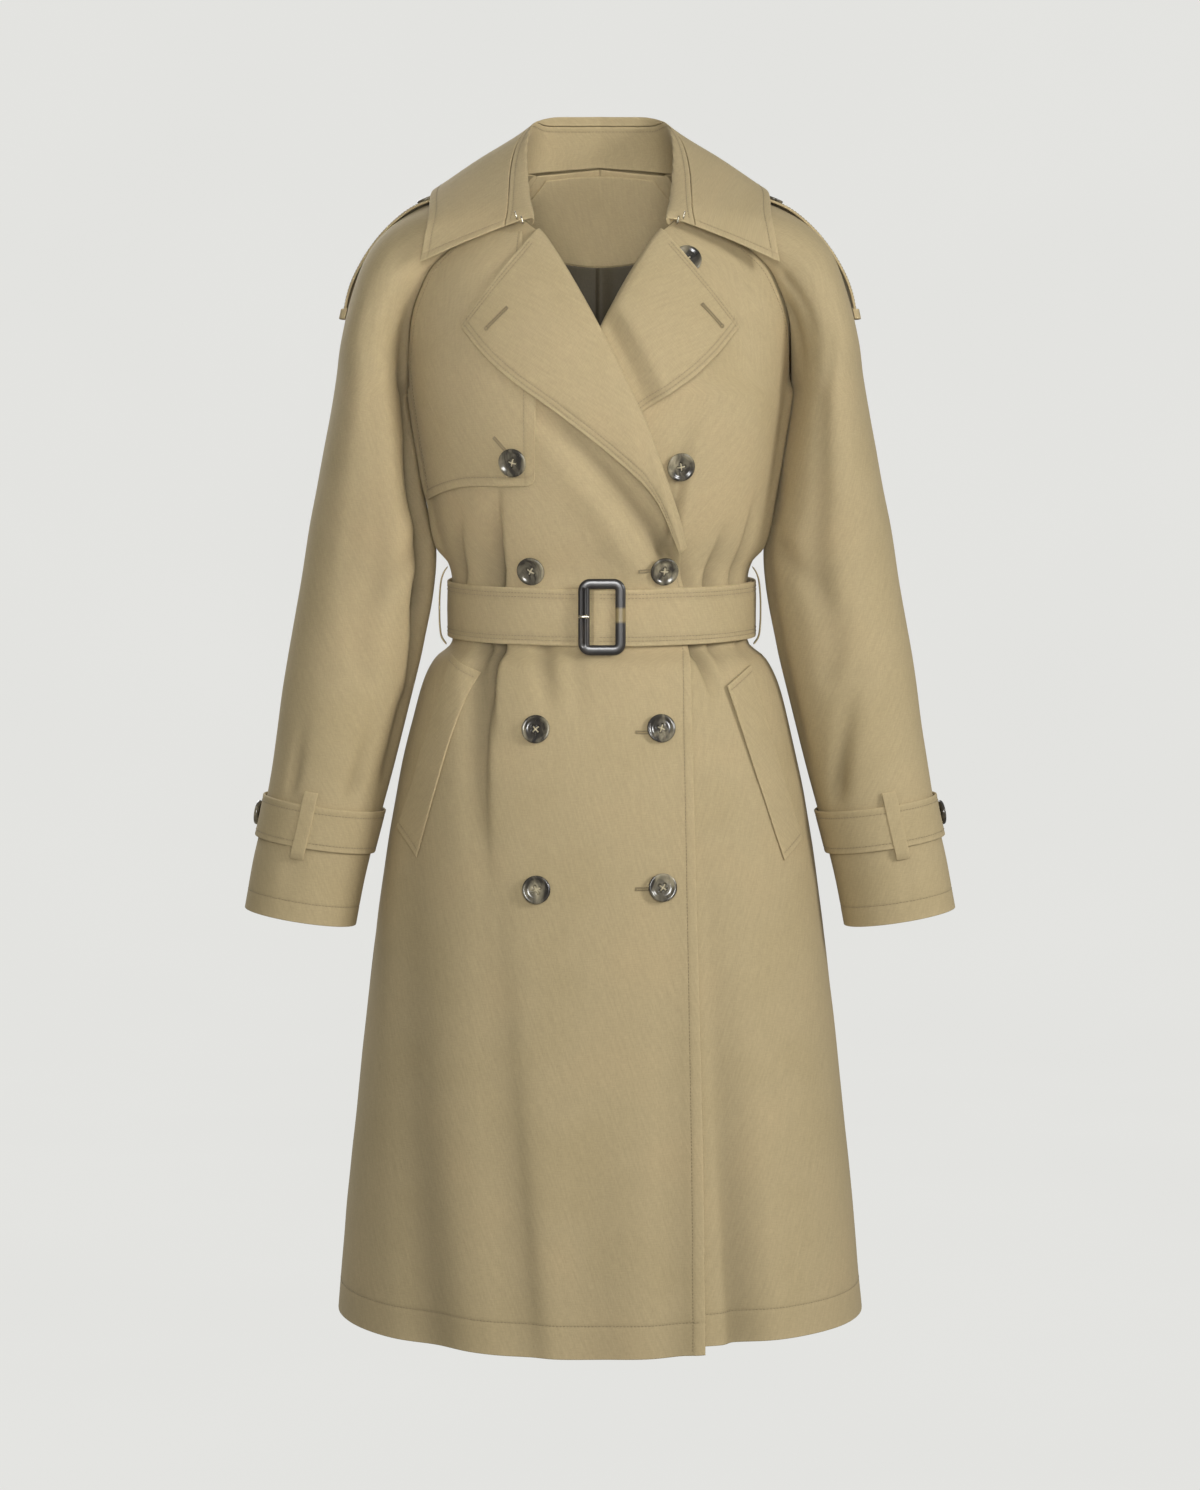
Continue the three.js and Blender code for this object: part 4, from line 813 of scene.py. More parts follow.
def on_lapel(side, u, v, panel_depth, beneath, free_more=0.0):
    """Point of the turned-back front: u runs over the roll to the outer edge, v from the gorge to the break.

    Seen flat it's roll + flat (edge - roll), a little outside the roll while it turns over, and the body's
    surface moved out by its lift gives its depth.
    """
    roll_z = read(LAPEL, "at", v, "roll_z")
    roll = np.stack([front_reach(roll_z), roll_z], axis=-1)
    edge = np.stack([read(LAPEL, "at", v, "edge_x"), read(LAPEL, "at", v, "edge_z")], axis=-1)
    away = roll - edge
    size = np.linalg.norm(away, axis=-1)
    curl = np.minimum(1, size / CURL_RADIUS)
    flat = np.maximum(0, (u - ROLL_SHARE) / (1 - ROLL_SHARE))
    across = read(LAPEL_TURN, "at", u, "across")
    first = LAPEL_TURN["across"][0]
    shift = np.where(u < 0.2, first + (across - first) * curl, across * curl)
    from_top = v * LAPEL_LENGTH
    corner = np.clip(LAPEL_TIP - from_top, 0, LAPEL_TIP)
    rounded = LAPEL_TIP - np.sqrt(LAPEL_TIP**2 - corner**2)
    flat_drawn = flat * (1 - rounded / np.maximum(size, 20))
    place = roll + (edge - roll) * flat_drawn[..., None] + unit(away) * shift[..., None]
    x, z = -side * place[..., 0], place[..., 1]
    turned = read(LAPEL_TURN, "at", u, "turned")
    arch = np.sin(math.pi * flat)
    free = mix(LAPEL_LIFT["roll"], LAPEL_LIFT["middle"], arch) * mix(0.6, 1, curl) + free_more
    top = mix(free, LAPEL_LIFT["beneath"], beneath(x, z))
    start = -panel_depth(x, z) - LAPEL_LIFT["start"]
    return hull(angle_at(x, z), z, mix(start, top, turned))


LAPEL_WIDTH = 130
NARROWEST = 30          # width at which a lapel's grid stops getting narrower
LAPEL_STITCHES = (4, 8)
TURN_COLUMNS = 14       # columns of the grid over the roll


def lapel(name, side, panel_depth, beneath):
    """A lapel as a grid over the roll and on to its edge, with two stitch lines along edge and gorge."""
    v = spread(LAPEL_LENGTH, EDGE_LINES, (0, 1, 3, 6))[0][:, None]
    roll_z = read(LAPEL, "at", v, "roll_z")
    aside = front_reach(roll_z) - read(LAPEL, "at", v, "edge_x")
    size = np.maximum(np.hypot(aside, roll_z - read(LAPEL, "at", v, "edge_z")), NARROWEST)
    leaf = spread(size[:, 0], (0, 2, 4), EDGE_LINES)
    turn = np.linspace(0, ROLL_SHARE, TURN_COLUMNS + 1)[None, :-1] + 0 * v
    u = np.concatenate([turn, ROLL_SHARE + (1 - ROLL_SHARE) * leaf], axis=1)
    soft = ripple(u * LAPEL_WIDTH, v * LAPEL_LENGTH, 41 + side, 70, 0.5) * smooth(0.2, 0.5, u)
    outer = on_lapel(side, u, v + 0 * u, panel_depth, beneath, soft)
    from_edge = (1 - (u - ROLL_SHARE) / (1 - ROLL_SHARE)) * size
    from_gorge = v * LAPEL_LENGTH + 0 * u
    pressed = groove(from_edge, *LAPEL_STITCHES) * (u > ROLL_SHARE)
    pressed += groove(from_gorge, *LAPEL_STITCHES) * (u > 0.3)
    return cloth(name, outer, side=-side, grooves=pressed)


# Collar: one surface from the neck seam over the fold to the leaf edge, parted at the stand seam

FOLD_ROUND = 5
COLLAR_LIFT = 4
COLLAR_LENGTH = 470
SAMPLES = 40            # of each span of a collar section's curve


def catmull_rom(corners, samples):
    """Centripetal curve through the corners of many sections at once, sampled evenly in each span.

    Each span is the cubic that leaves p1 and arrives at p2 with the slopes leave and arrive.
    """
    first = 2 * corners[:, :1] - corners[:, 1:2]
    last = 2 * corners[:, -1:] - corners[:, -2:-1]
    p = np.concatenate([first, corners, last], axis=1)
    gap = np.sqrt(np.linalg.norm(np.diff(p, axis=1), axis=-1))[..., None]
    t = np.linspace(0, 1, samples + 1)[:-1, None]
    spans = []
    for k in range(corners.shape[1] - 1):
        p0, p1, p2, p3 = (p[:, k + n][:, None] for n in range(4))
        d0, d1, d2 = (gap[:, k + n][:, None] for n in range(3))
        leave = ((p1 - p0) / d0 - (p2 - p0) / (d0 + d1) + (p2 - p1) / d1) * d1
        arrive = ((p2 - p1) / d1 - (p3 - p1) / (d1 + d2) + (p3 - p2) / d2) * d1
        square = 3 * (p2 - p1) - 2 * leave - arrive
        cube = 2 * (p1 - p2) + leave + arrive
        spans.append(p1 + leave * t + square * t**2 + cube * t**3)
    spans.append(corners[:, -1:])
    return np.concatenate(spans, axis=1)


def collar_line(u, name):
    """Points of the collar's neck seam, fold or leaf edge at stations from -1 (right end) to 1 (left end)."""
    x, y, z = (read(COLLAR, "at", np.abs(u), f"{name}_{axis}") for axis in "xyz")
    return point(np.where(u < 0, -1.0, 1.0) * x, y, z)


def collar_sections(u):
    """Curve of the collar's section at each station: from the neck seam round the fold to the leaf edge."""
    neck, fold, leaf = (collar_line(u, name) for name in ("neck", "fold", "leaf"))
    rise, fall = unit(fold - neck), unit(leaf - fold)
    out = unit(fall * np.array([1.0, 1.0, 0.0]))
    lifted = fall + np.array([0, 0, 1.2])
    across = unit(lifted - rise * np.sum(lifted * rise, axis=-1, keepdims=True))
    tall = np.linalg.norm(fold - neck, axis=-1, keepdims=True)
    before = fold - rise * np.minimum(FOLD_ROUND + 2, tall / 2)
    top = fold + across * FOLD_ROUND / 2 + rise
    after = fold + across * (FOLD_ROUND + 0.8) + rise * (2 - FOLD_ROUND)
    middle = (fold + leaf) / 2 + out * 3 + np.array([0, 0, COLLAR_LIFT])
    return catmull_rom(np.stack([neck, before, top, after, middle, leaf], axis=1), SAMPLES)


STAND_SEAM = table("at past", (0, -9), (0.26, -8), (0.4, 0), (0.56, 9), (1, 28))
FALL_STITCH = 7
STAND_STITCH = 4


def stand_seam(u):
    """Distance from the fold to the stand seam: inside the neck at the back, outside in front."""
    return read(STAND_SEAM, "at", np.abs(u), "past")


def collar_part(name, part):
    """The stand from the neck seam to the stand seam, or the fall from there to the leaf edge.

    Each section's curve is cut at its length to the stand seam, and the part is read off along what is left.
    """
    u = spread(COLLAR_LENGTH, EDGE_LINES, EDGE_LINES, 4)[0] * 2 - 1
    curves = collar_sections(u)
    run = np.linalg.norm(np.diff(curves, axis=1, prepend=curves[:, :1]), axis=-1).cumsum(axis=1)
    seam = run[:, 2 * SAMPLES] + stand_seam(u)
    if part == "stand":
        start, end, narrowest, last_lines = np.zeros_like(seam), seam - SEAM_GAP, 12.8, SEAM_LINES[:6]
    else:
        start, end, narrowest, last_lines = seam + SEAM_GAP, run[:, -1], 25.6, EDGE_LINES
    share = spread(np.maximum(end - start, narrowest), SEAM_LINES, last_lines, pitch=2.5)
    place = start[:, None] + share * (end - start)[:, None]
    outer = np.stack([along_run(*section) for section in zip(place, run, curves)], axis=1)
    from_leaf = (end[:, None] - place).T
    from_front = (1 - np.abs(u))[None, :] * (COLLAR_LENGTH / 2) + 0 * from_leaf
    if part == "fall":
        pressed = groove(from_leaf, FALL_STITCH) + groove(from_front, FALL_STITCH)
    else:
        pressed = groove(from_leaf, STAND_STITCH)
    return cloth(name, outer, grooves=pressed)


# Straps and flaps on the body

BELT = {"from": -8, "to": 351.2}
BELT_END = {"from": -3, "to": 116}
BELT_STITCHES = (4.6, 7.6)
DEGREES_A_COLUMN = 1.6


def belt_strip(name, start, end, out):
    """A strap round the waist from start to end in degrees: the body's section moved out, a little wavy.

    Its front sags by BELT_SAG cos(angle), and two stitch lines run near each edge.
    """
    angle = np.radians(np.linspace(start, end, int((end - start) / DEGREES_A_COLUMN)))[None, :]
    across = spread(BELT_WIDTH, BELT_LINES, BELT_LINES)[0][:, None]
    y = across * BELT_WIDTH
    z = mix(BELT_TOP - BELT_WIDTH, BELT_TOP, across) - BELT_SAG * np.cos(angle)
    wavy = ripple(angle * 120, y, 51, 60, 0.35)
    rumpled = ripple(angle * 40, y, 53, 16, 0.22)
    body = hull(angle, BELT_TOP - BELT_WIDTH / 2 + 0 * rumpled, out + np.abs(rumpled))
    outer = point(body[..., 0], body[..., 1], z)
    outer[..., 2] += wavy * 0.6
    from_edge = np.minimum(across, 1 - across) * BELT_WIDTH + 0 * angle
    return cloth(name, outer, DOUBLED, grooves=groove(from_edge, *BELT_STITCHES, deep=0.3))


FLAP = {
    "edge_x": 54.7, "top_edge_x": 66, "corner": 9, "bottom": -284.4, "top": -62, "tip_drop": 12.6,
    "wrap": 77, "out": 3.3, "width": 105,
}


def on_flap(u, z0, lift=0.0):
    """Point of the flap, on the body moved out: u runs from the raglan seam to the free front edge.

    z0 is its height before the low corner is rounded by a quarter circle and the seam's end drops.
    """
    v = (z0 - FLAP["bottom"]) / (FLAP["top"] - FLAP["bottom"])
    seam = np.minimum(armhole_angle(FRONT_ARMHOLE, z0) - 0.02, math.radians(FLAP["wrap"]))
    edge_x = mix(FLAP["edge_x"], FLAP["top_edge_x"], smooth(-170, -110, z0))
    angle = mix(seam, angle_at(edge_x, z0), u)
    x = hull(angle, z0)[..., 0]
    drop = FLAP["tip_drop"] * (np.maximum(0, x - 105) / 47) ** 2
    near = np.maximum(0, edge_x + FLAP["corner"] - x)
    rounded = FLAP["corner"] - np.sqrt(np.maximum(FLAP["corner"] ** 2 - near**2, 0))
    z = z0 + (rounded - drop) * (1 - v)
    return hull(-angle, z, FLAP["out"] + lift)


def storm_flap():
    """The flap over the wearer's right chest, free at its front and low edges."""
    tall, wide = FLAP["top"] - FLAP["bottom"], float(FLAP["width"])
    z0 = (FLAP["bottom"] + spread(tall, EDGE_LINES, (0, 1, 3))[0] * tall)[:, None]
    u = spread(np.full(len(z0), wide), SEAM_LINES, EDGE_LINES, 3.5)
    lift = ripple(u * wide, z0, 61, 70, 0.35) * smooth(-100, -200, z0)
    pressed = groove((1 - u) * wide, EDGE_STITCH) + groove(z0 - FLAP["bottom"] + 0 * u, EDGE_STITCH)
    return cloth("storm_flap", on_flap(u, z0 + 0 * u, lift), grooves=pressed)


WELT = {"length": 165, "width": 21.0, "over": 0.8}
STRAP_STITCH = 5        # distance of a strap's or welt's stitch line from its edge


def welt(name, side):
    """A slanted pocket welt on the folded body, mixed between its low and top edges by v, and by u across.

    Each edge is given as outer x and z, then front x and z.
    """
    shape = WELTS[side]
    v = spread(WELT["length"], EDGE_LINES, EDGE_LINES, 4)[0][:, None]
    u = spread(np.full(len(v), WELT["width"]), WELT_LINES, WELT_LINES, 2.5)
    (tox, toz, tfx, tfz), (lox, loz, lfx, lfz) = shape["top"], shape["low"]
    x = mix(mix(tox, tfx, u), mix(lox, lfx, u), v)
    z = mix(mix(toz, tfz, u), mix(loz, lfz, u), v)
    up, down = v * WELT["length"] + 0 * u, (1 - v) * WELT["length"] + 0 * u
    pressed = groove(up, STRAP_STITCH) + groove(down, STRAP_STITCH)
    outer = folded(side * angle_at(np.abs(x), z), z, CLOTH + WELT["over"])
    return cloth(name, outer, side=side, grooves=pressed)


# How far an epaulette settles on the shoulder, and the shares of its length where it starts to and stops
EPAULETTE_REST = {"down": 2.6, "inward": 1.0, "where": (0, 0.12, 0.66, 0.88)}
EPAULETTE_LENGTH = 170
EPAULETTE_HALF = 20
STRAP_CROWN = 320


def epaulette(name, side):
    """A strap over the shoulder: its centre line carried straight across, bent down by 0.7 w^2 / crown."""
    at = spread(EPAULETTE_LENGTH, EDGE_LINES, EDGE_LINES, 4)[0][None, :]
    w = ((spread(2 * EPAULETTE_HALF, STRAP_LINES, STRAP_LINES, 3)[0] * 2 - 1) * EPAULETTE_HALF)[:, None]
    bent = w * w / STRAP_CROWN * 0.7
    rest = faded(at, *EPAULETTE_REST["where"])
    x = read(EPAULETTE, "at", at, "x") - bent - EPAULETTE_REST["inward"] * rest
    z = read(EPAULETTE, "at", at, "z") - bent - EPAULETTE_REST["down"] * rest
    from_side, from_end = EPAULETTE_HALF - np.abs(w) + 0 * at, (1 - at) * EPAULETTE_LENGTH + 0 * w
    pressed = groove(from_side, STRAP_STITCH) + groove(from_end, STRAP_STITCH)
    return cloth(name, point(side * x, w, z), DOUBLED, side=side, grooves=pressed)


CARRIER_HEIGHTS = (-137, -128)
CARRIER_LEAN = 0.22


def narrow(low, high):
    """Even lines across a narrow loop from low to high, with finer ones at its rims."""
    return mix(low, high, spread(high - low, RIM_LINES, RIM_LINES, 2)[0])


def carrier(name, side):
    """The loop that an epaulette passes through: its line in plan carried up, leaning inwards."""
    at = np.linspace(0, 1, 41)[None, :]
    z = narrow(*CARRIER_HEIGHTS)[:, None]
    x = read(CARRIER, "at", at, "x") - (z - CARRIER_HEIGHTS[0]) * CARRIER_LEAN
    return cloth(name, point(side * x, read(CARRIER, "at", at, "y"), z), side=side)


BELT_LOOP_HALF = 6
BELT_LOOP_THICK = 1.2


def belt_loop(name, side):
    """A loop beside the belt: its upright line carried across."""
    at = np.linspace(0, 1, 49)[None, :]
    y = narrow(-BELT_LOOP_HALF, BELT_LOOP_HALF)[:, None]
    x = side * read(BELT_LOOP, "at", at, "x")
    return cloth(name, point(x, y, read(BELT_LOOP, "at", at, "z")), BELT_LOOP_THICK, side=side)


CUFF_STRAP = {
    "low": 0.103, "high": 0.156, "out": 3.4, "reach": 0.996, "width": 38, "loop_from": 0.4, "loop_to": 0.475,
}


def cuff_strap(name, side):
    """A strap round the cuff: the sleeve's own surface moved out, between two places along it."""
    around = np.linspace(-CUFF_STRAP["reach"], CUFF_STRAP["reach"], 141)[None, :]
    share = spread(CUFF_STRAP["width"], STRAP_LINES, STRAP_LINES, 3)[0][:, None]
    along = mix(CUFF_STRAP["low"], CUFF_STRAP["high"], share)
    pressed = groove(np.minimum(share, 1 - share) * CUFF_STRAP["width"] + 0 * around, STRAP_STITCH)
    return cloth(name, mirrored(side, on_sleeve(around, along, CUFF_STRAP["out"])), DOUBLED, -side, pressed)


CUFF_LOOP = table("across over", (-0.3, -0.9), (-0.12, 1.35), (0.5, 1.35), (1.12, 1.35), (1.3, -0.9))
CUFF_LOOP_WIDTH = 13


def cuff_loop(name, side):
    """A loop over the cuff strap: the sleeve's surface moved out, and back in past the strap's edges."""
    share = np.linspace(CUFF_LOOP["across"][0], CUFF_LOOP["across"][-1], 40)[:, None]
    lines = spread(CUFF_LOOP_WIDTH, RIM_LINES, RIM_LINES, 2)[0][None, :]
    around = mix(CUFF_STRAP["loop_from"], CUFF_STRAP["loop_to"], lines)
    over = np.interp(share, CUFF_LOOP["across"], CUFF_LOOP["over"])
    along = mix(CUFF_STRAP["low"], CUFF_STRAP["high"], share)
    return cloth(name, mirrored(side, on_sleeve(around, along, CUFF_STRAP["out"] + over)), side=-side)


FACING = {
    "low_turn": 52, "top_turn": 36, "low_rise": 34, "top": -6, "top_dip": 12, "inside": 1.5, "height": 78,
    "width": 200.0,
}


def back_neck_facing():
    """The facing inside the back neck, on the body moved in: its low edge rises by sin^2 of the turn."""
    v = spread(FACING["height"], SEAM_LINES, SEAM_LINES)[0][:, None]
    u = spread(np.full(len(v), FACING["width"]), SEAM_LINES, SEAM_LINES)
    turn = np.radians((u * 2 - 1) * mix(FACING["low_turn"], FACING["top_turn"], v))
    aside = np.sin(turn) ** 2
    z = mix(FACING_HEM + FACING["low_rise"] * aside, FACING["top"] - FACING["top_dip"] * aside, v)
    pressed = seam_dip(v * FACING["height"], 0.6, 1.3) + 0 * u
    return cloth("back_neck_facing", hull(math.pi + turn, z, -CLOTH - FACING["inside"]), grooves=pressed)


PLEAT = {"deep": 5, "wide": 0.09, "inside": 2.3, "under": 1.1, "steep": 5}
LINING_TALL = 170
# Degrees from the middle of the back between which the lining's grid has so many columns, fine at the pleat
LINING_COLUMNS = ((-62, -12, 40), (-11.5, 11.5, 93), (12, 62, 40))


def back_lining():
    """The lining below the facing, with a pleat down its middle: deep exp(-(k turn / wide)^2), k by side."""
    v = spread(LINING_TALL, SEAM_LINES, SEAM_LINES)[0][:, None]
    turn = np.radians(np.concatenate([np.linspace(*stretch) for stretch in LINING_COLUMNS]))[None, :] + 0 * v
    z = mix(LINING_HEM, FACING_HEM - 1 + FACING["low_rise"] * np.sin(turn) ** 2, v)
    away = turn / PLEAT["wide"] * np.where(turn < 0, PLEAT["under"], PLEAT["steep"])
    pleat = PLEAT["deep"] * np.exp(-(away**2))
    soft = ripple(turn * 110, z, 71, 45, 0.8)
    return cloth("back_lining", hull(math.pi + turn, z, -CLOTH - PLEAT["inside"] - pleat - soft * 0.5 - 0.4))


# Buttons, buckle and small metal


def disc(radii, heights, spokes=48, holes=None, pit=0.0):
    """A turned disc: height over its face for each radius, with pits pressed in at the thread holes.

    The face looks along +Z, and the disc closes with a flat back.
    """
    turn = np.arange(spokes) * 2 * math.pi / spokes
    r, h = np.array(radii, dtype=float)[:, None], np.array(heights, dtype=float)[:, None]
    x, y = r * np.cos(turn), r * np.sin(turn)
    z = h + 0 * x
    if holes is not None:
        for hole_x, hole_y, hole_r in holes:
            away = np.hypot(x - hole_x, y - hole_y)
            z = z - pit * (1 - smooth(hole_r * 0.75, hole_r * 1.15, away))
    points = np.concatenate([point(x, y, z).reshape(-1, 3), [[0, 0, heights[0]], [0, 0, heights[-1]]]])
    faces = grid_faces(len(radii), spokes, wrap_columns=True)
    ring, hub = np.arange(spokes), len(radii) * spokes
    return points, np.concatenate([fan(ring, hub), faces, fan(ring + hub - spokes, hub + 1, turned=True)])


HOLE = 0.115            # radius of a button's thread holes and their place, as shares of the button's radius
HOLE_OFF = 0.19
DISHED = 0.62           # height of the dished middle, as a share of the button's thickness
RIM_PROFILE = table(
    "out up",
    (0.5, 0.62), (0.58, 0.64), (0.66, 0.7), (0.72, 0.8), (0.78, 0.91), (0.84, 0.98), (0.9, 1), (0.95, 0.97),
    (0.985, 0.88), (1, 0.74), (1, 0.46), (0.97, 0.26), (0.9, 0.1), (0.8, 0), (0.5, 0),
)


def horn_disc(radius, thick):
    """Profile of a four-hole button: dished middle, raised rim, rounded edge, and a rounded back."""
    inner = np.linspace(0.02, 0.42, 22) * radius
    radii = np.concatenate([inner, RIM_PROFILE["out"] * radius])
    heights = np.concatenate([DISHED * thick + 0 * inner, RIM_PROFILE["up"] * thick])
    off = HOLE_OFF * radius
    holes = [(x * off, y * off, HOLE * radius) for x, y in ((1, 1), (-1, 1), (-1, -1), (1, -1))]
    return disc(radii, heights, holes=holes, pit=thick * 0.5)


def seat(points, base, normal, spin=0.0):
    """Points drawn round +Z, spun about it and set on a surface: base + x X + y Y + z normal.

    X and Y are square to the normal and turned about it by the spin.
    """
    normal = unit(np.asarray(normal, dtype=float))
    helper = np.array([0.0, 0.0, 1.0]) if abs(normal[2]) < 0.9 else np.array([1.0, 0.0, 0.0])
    across = unit(np.cross(helper, normal))
    up = np.cross(normal, across)
    x = across * math.cos(spin) + up * math.sin(spin)
    y = np.cross(normal, x)
    return np.asarray(base) + points[:, :1] * x + points[:, 1:2] * y + points[:, 2:] * normal


def rod(points, radius, sides=10, helper=(0.0, 0.3, 1.0), cap=True):
    """A round wire along a list of places, with closed ends unless cap says no."""
    points = np.asarray(points, dtype=float)
    along = unit(np.gradient(points, axis=0))
    across = unit(np.cross(along, np.tile(helper, (len(points), 1))))
    turn = np.arange(sides) * 2 * math.pi / sides
    up = np.cross(across, along)
    return sweep(points, radius * np.cos(turn), radius * np.sin(turn), across, up, False, cap)


SEWN = {"radius": 0.24, "arch": 1.1, "aside": 0.22, "sunk": 0.8}


def strand(start, end):
    """One thread from hole to hole: a rod that rises by arch (1 - (2 t - 1)^4) on its way."""
    t = np.linspace(0, 1, 9)[:, None]
    centres = mix(np.array(start), np.array(end), t)
    centres[:, 2] += SEWN["arch"] * (1 - (2 * t[:, 0] - 1) ** 4)
    return rod(centres, SEWN["radius"], 6, (0.0, 0.0, 1.0), cap=False)


def button(name, base, normal, radius=12.5, thick=4.0, spin=0.0):
    """The horn disc, and two crossed pairs of threads that sew it on."""
    points, faces = horn_disc(radius, thick)
    piece = make(name, seat(points, base, normal, spin), faces, sharp=70)
    off, level = HOLE_OFF * radius, thick * DISHED - SEWN["sunk"]
    threads = []
    for x, y in ((1, 1), (1, -1)):
        for shift in (-SEWN["aside"], SEWN["aside"]):
            start = (off * x + shift * y, off * y - shift * x, level)
            end = (-off * x + shift * y, -off * y - shift * x, level)
            threads.append(strand(start, end))
    points, faces = joined(threads)
    thread = make("thread_" + name, seat(points, base, normal, spin), faces)
    return piece, thread


def body_normal(angle, z):
    """The smooth body's normal: the cross product of a small step across and one up."""
    across = hull(angle + 0.01, z) - hull(angle - 0.01, z)
    up = hull(angle, z + 1) - hull(angle, z - 1)
    return unit(np.cross(across, up))


BUCKLE = {
    "width": 41.5, "height": 67, "bar": 9, "corner": 10, "thick": 4.5, "x": 1.7, "y": -107.4, "z": -398,
    "groove_in": 4.4, "groove_deep": 1.5, "groove_wide": 0.9,
}
PIN_BAR = {"x": -12.6, "radius": 1.9, "behind": 1.6}
PRONG = {"radius": 1.3, "length": 9, "x": -14, "z": -397.5, "curl_radius": 0.7, "curl": 2.2, "curl_deep": 2.9}


def rounded_path(width, height, corner, per_corner=9, per_side=8):
    """Closed path of a rectangle with round corners, and its outward direction at each place."""
    sides = [(1, 1, 0), (-1, 1, 90), (-1, -1, 180), (1, -1, 270)]
    places, outs = [], []
    for sx, sz, start in sides:
        turn = np.radians(start + np.linspace(0, 90, per_corner))
        centre = np.array([sx * (width / 2 - corner), sz * (height / 2 - corner)])
        out = np.stack([np.cos(turn), np.sin(turn)], axis=-1)
        places.append(centre + out * corner)
        outs.append(out)
    path, way = np.concatenate(places), np.concatenate(outs)
    full_path, full_way = [], []
    for k in range(len(path)):
        nxt = (k + 1) % len(path)
        full_path.append(path[k:k + 1])
        full_way.append(way[k:k + 1])
        if np.linalg.norm(path[nxt] - path[k]) > 5:
            t = np.linspace(0, 1, per_side + 2)[1:-1, None]
            full_path.append(mix(path[k], path[nxt], t))
            full_way.append(np.repeat(way[k:k + 1], per_side, axis=0))
    return np.concatenate(full_path), np.concatenate(full_way)


def bulge(wave, power):
    """A squarer wave: its sign times its size to a power under 1."""
    return np.sign(wave) * np.abs(wave) ** power


def buckle_frame():
    """A rounded bar carried round the buckle's outline, and the slimmer bar that the belt turns on."""
    b = BUCKLE
    path, way = rounded_path(b["width"] - b["bar"], b["height"] - b["bar"], b["corner"] - b["bar"] / 2 + 0.5)
    centres = point(path[:, 0] + b["x"], 0, path[:, 1] + b["z"])
    centres[:, 1] = b["y"] - b["thick"] / 2
    turn = np.arange(36) * 2 * math.pi / 36
    section_out = b["bar"] / 2 * bulge(np.cos(turn), 0.75)
    section_up = b["thick"] / 2 * bulge(np.sin(turn), 0.8)
    out = point(way[:, 0], 0, way[:, 1])
    front = np.tile([0.0, -1.0, 0.0], (len(out), 1))
    frame_points, frame_faces = sweep(centres, section_out, section_up, out, front)
    from_groove = frame_points[:, 0] - (b["x"] - b["width"] / 2 + b["groove_in"])
    beside_window = np.abs(frame_points[:, 2] - b["z"]) < b["height"] / 2 - b["bar"]
    in_front = frame_points[:, 1] < b["y"] - b["thick"] / 2
    dip = b["groove_deep"] * np.exp(-((from_groove / b["groove_wide"]) ** 2))
    frame_points[:, 1] += dip * beside_window * in_front
    z = np.linspace(-1, 1, 12) * (b["height"] / 2 - b["bar"] + 1)
    bar = point(b["x"] + PIN_BAR["x"] + 0 * z, b["y"] - b["thick"] + PIN_BAR["behind"], b["z"] + z)
    small = np.arange(12) * 2 * math.pi / 12
    round_x, round_y = PIN_BAR["radius"] * np.cos(small), PIN_BAR["radius"] * np.sin(small)
    side = np.tile([1.0, 0.0, 0.0], (12, 1))
    ahead = np.tile([0.0, -1.0, 0.0], (12, 1))
    bar_part = sweep(bar, round_x, round_y, side, ahead, False, True)
    return make("buckle_frame", *joined([(frame_points, frame_faces), bar_part]), sharp=80)


def buckle_prong():
    """A short metal tongue that curls round the bar and lies over it."""
    t = np.linspace(0, 1, 14)
    x = PRONG["x"] + PRONG["length"] * (t - 0.5)
    y = BUCKLE["y"] - BUCKLE["thick"] - PRONG["radius"] - SEAM_GAP + 1.6 * (1 - smooth(0, 0.25, t))
    main = rod(point(x, y, PRONG["z"] + 0 * t), PRONG["radius"])
    ring_turn = np.linspace(-0.2, 1.2, 12) * math.pi
    ring_x = PRONG["x"] + PRONG["curl"] + 0 * ring_turn
    ring_y = BUCKLE["y"] - BUCKLE["thick"] / 2 - PRONG["curl_deep"] * np.sin(ring_turn) - 0.6
    ring_z = PRONG["z"] + PRONG["curl"] * np.cos(ring_turn)
    ring = rod(point(ring_x, ring_y, ring_z), PRONG["curl_radius"])
    return make("buckle_prong", *joined([main, ring]))


HOOK = {"x": 73, "y": -95, "z": -49, "wire": 0.75, "half": 3.2, "stands": 1.6, "lean": 0.8, "apart": 7.0}


def hook_bars(side):
    """Two small wire bars on the stand's front end, each standing off by stands (1 - |t|^6)."""
    parts = []
    for offset in (0.0, HOOK["apart"]):
        t = np.linspace(-1, 1, 15)
        x = side * (HOOK["x"] - offset * 0.75)
        reach = HOOK["stands"] * (1 - np.abs(t) ** 6)
        z = HOOK["z"] - offset * 0.6 + HOOK["half"] * t
        parts.append(rod(point(x + HOOK["lean"] * t * side, HOOK["y"] - reach, z), HOOK["wire"], 8))
    return make("hook_bars_" + ("right" if side < 0 else "left"), *joined(parts))


HOLE_THREAD = {"radius": 0.3, "pitch": 0.62, "slit": 0.25, "long": 1.5, "over": 0.25, "drop": 0.1}
EYELET = {"inner": 0.9, "outer": 2.3, "past": 1.0, "rays": 12}
TACK = {"half": 1.3, "long": 0.9, "past": 0.6, "over": 0.3, "threads": 6}
HOLE_SHAPE = ((0.0, 0.4, 0), (0.25, 1.0, 0), (0.75, 1.0, 0), (1.0, 0.4, 0))
HOLE_RING = ((1, 0), (0, 1), (-1, 0), (0, -1))


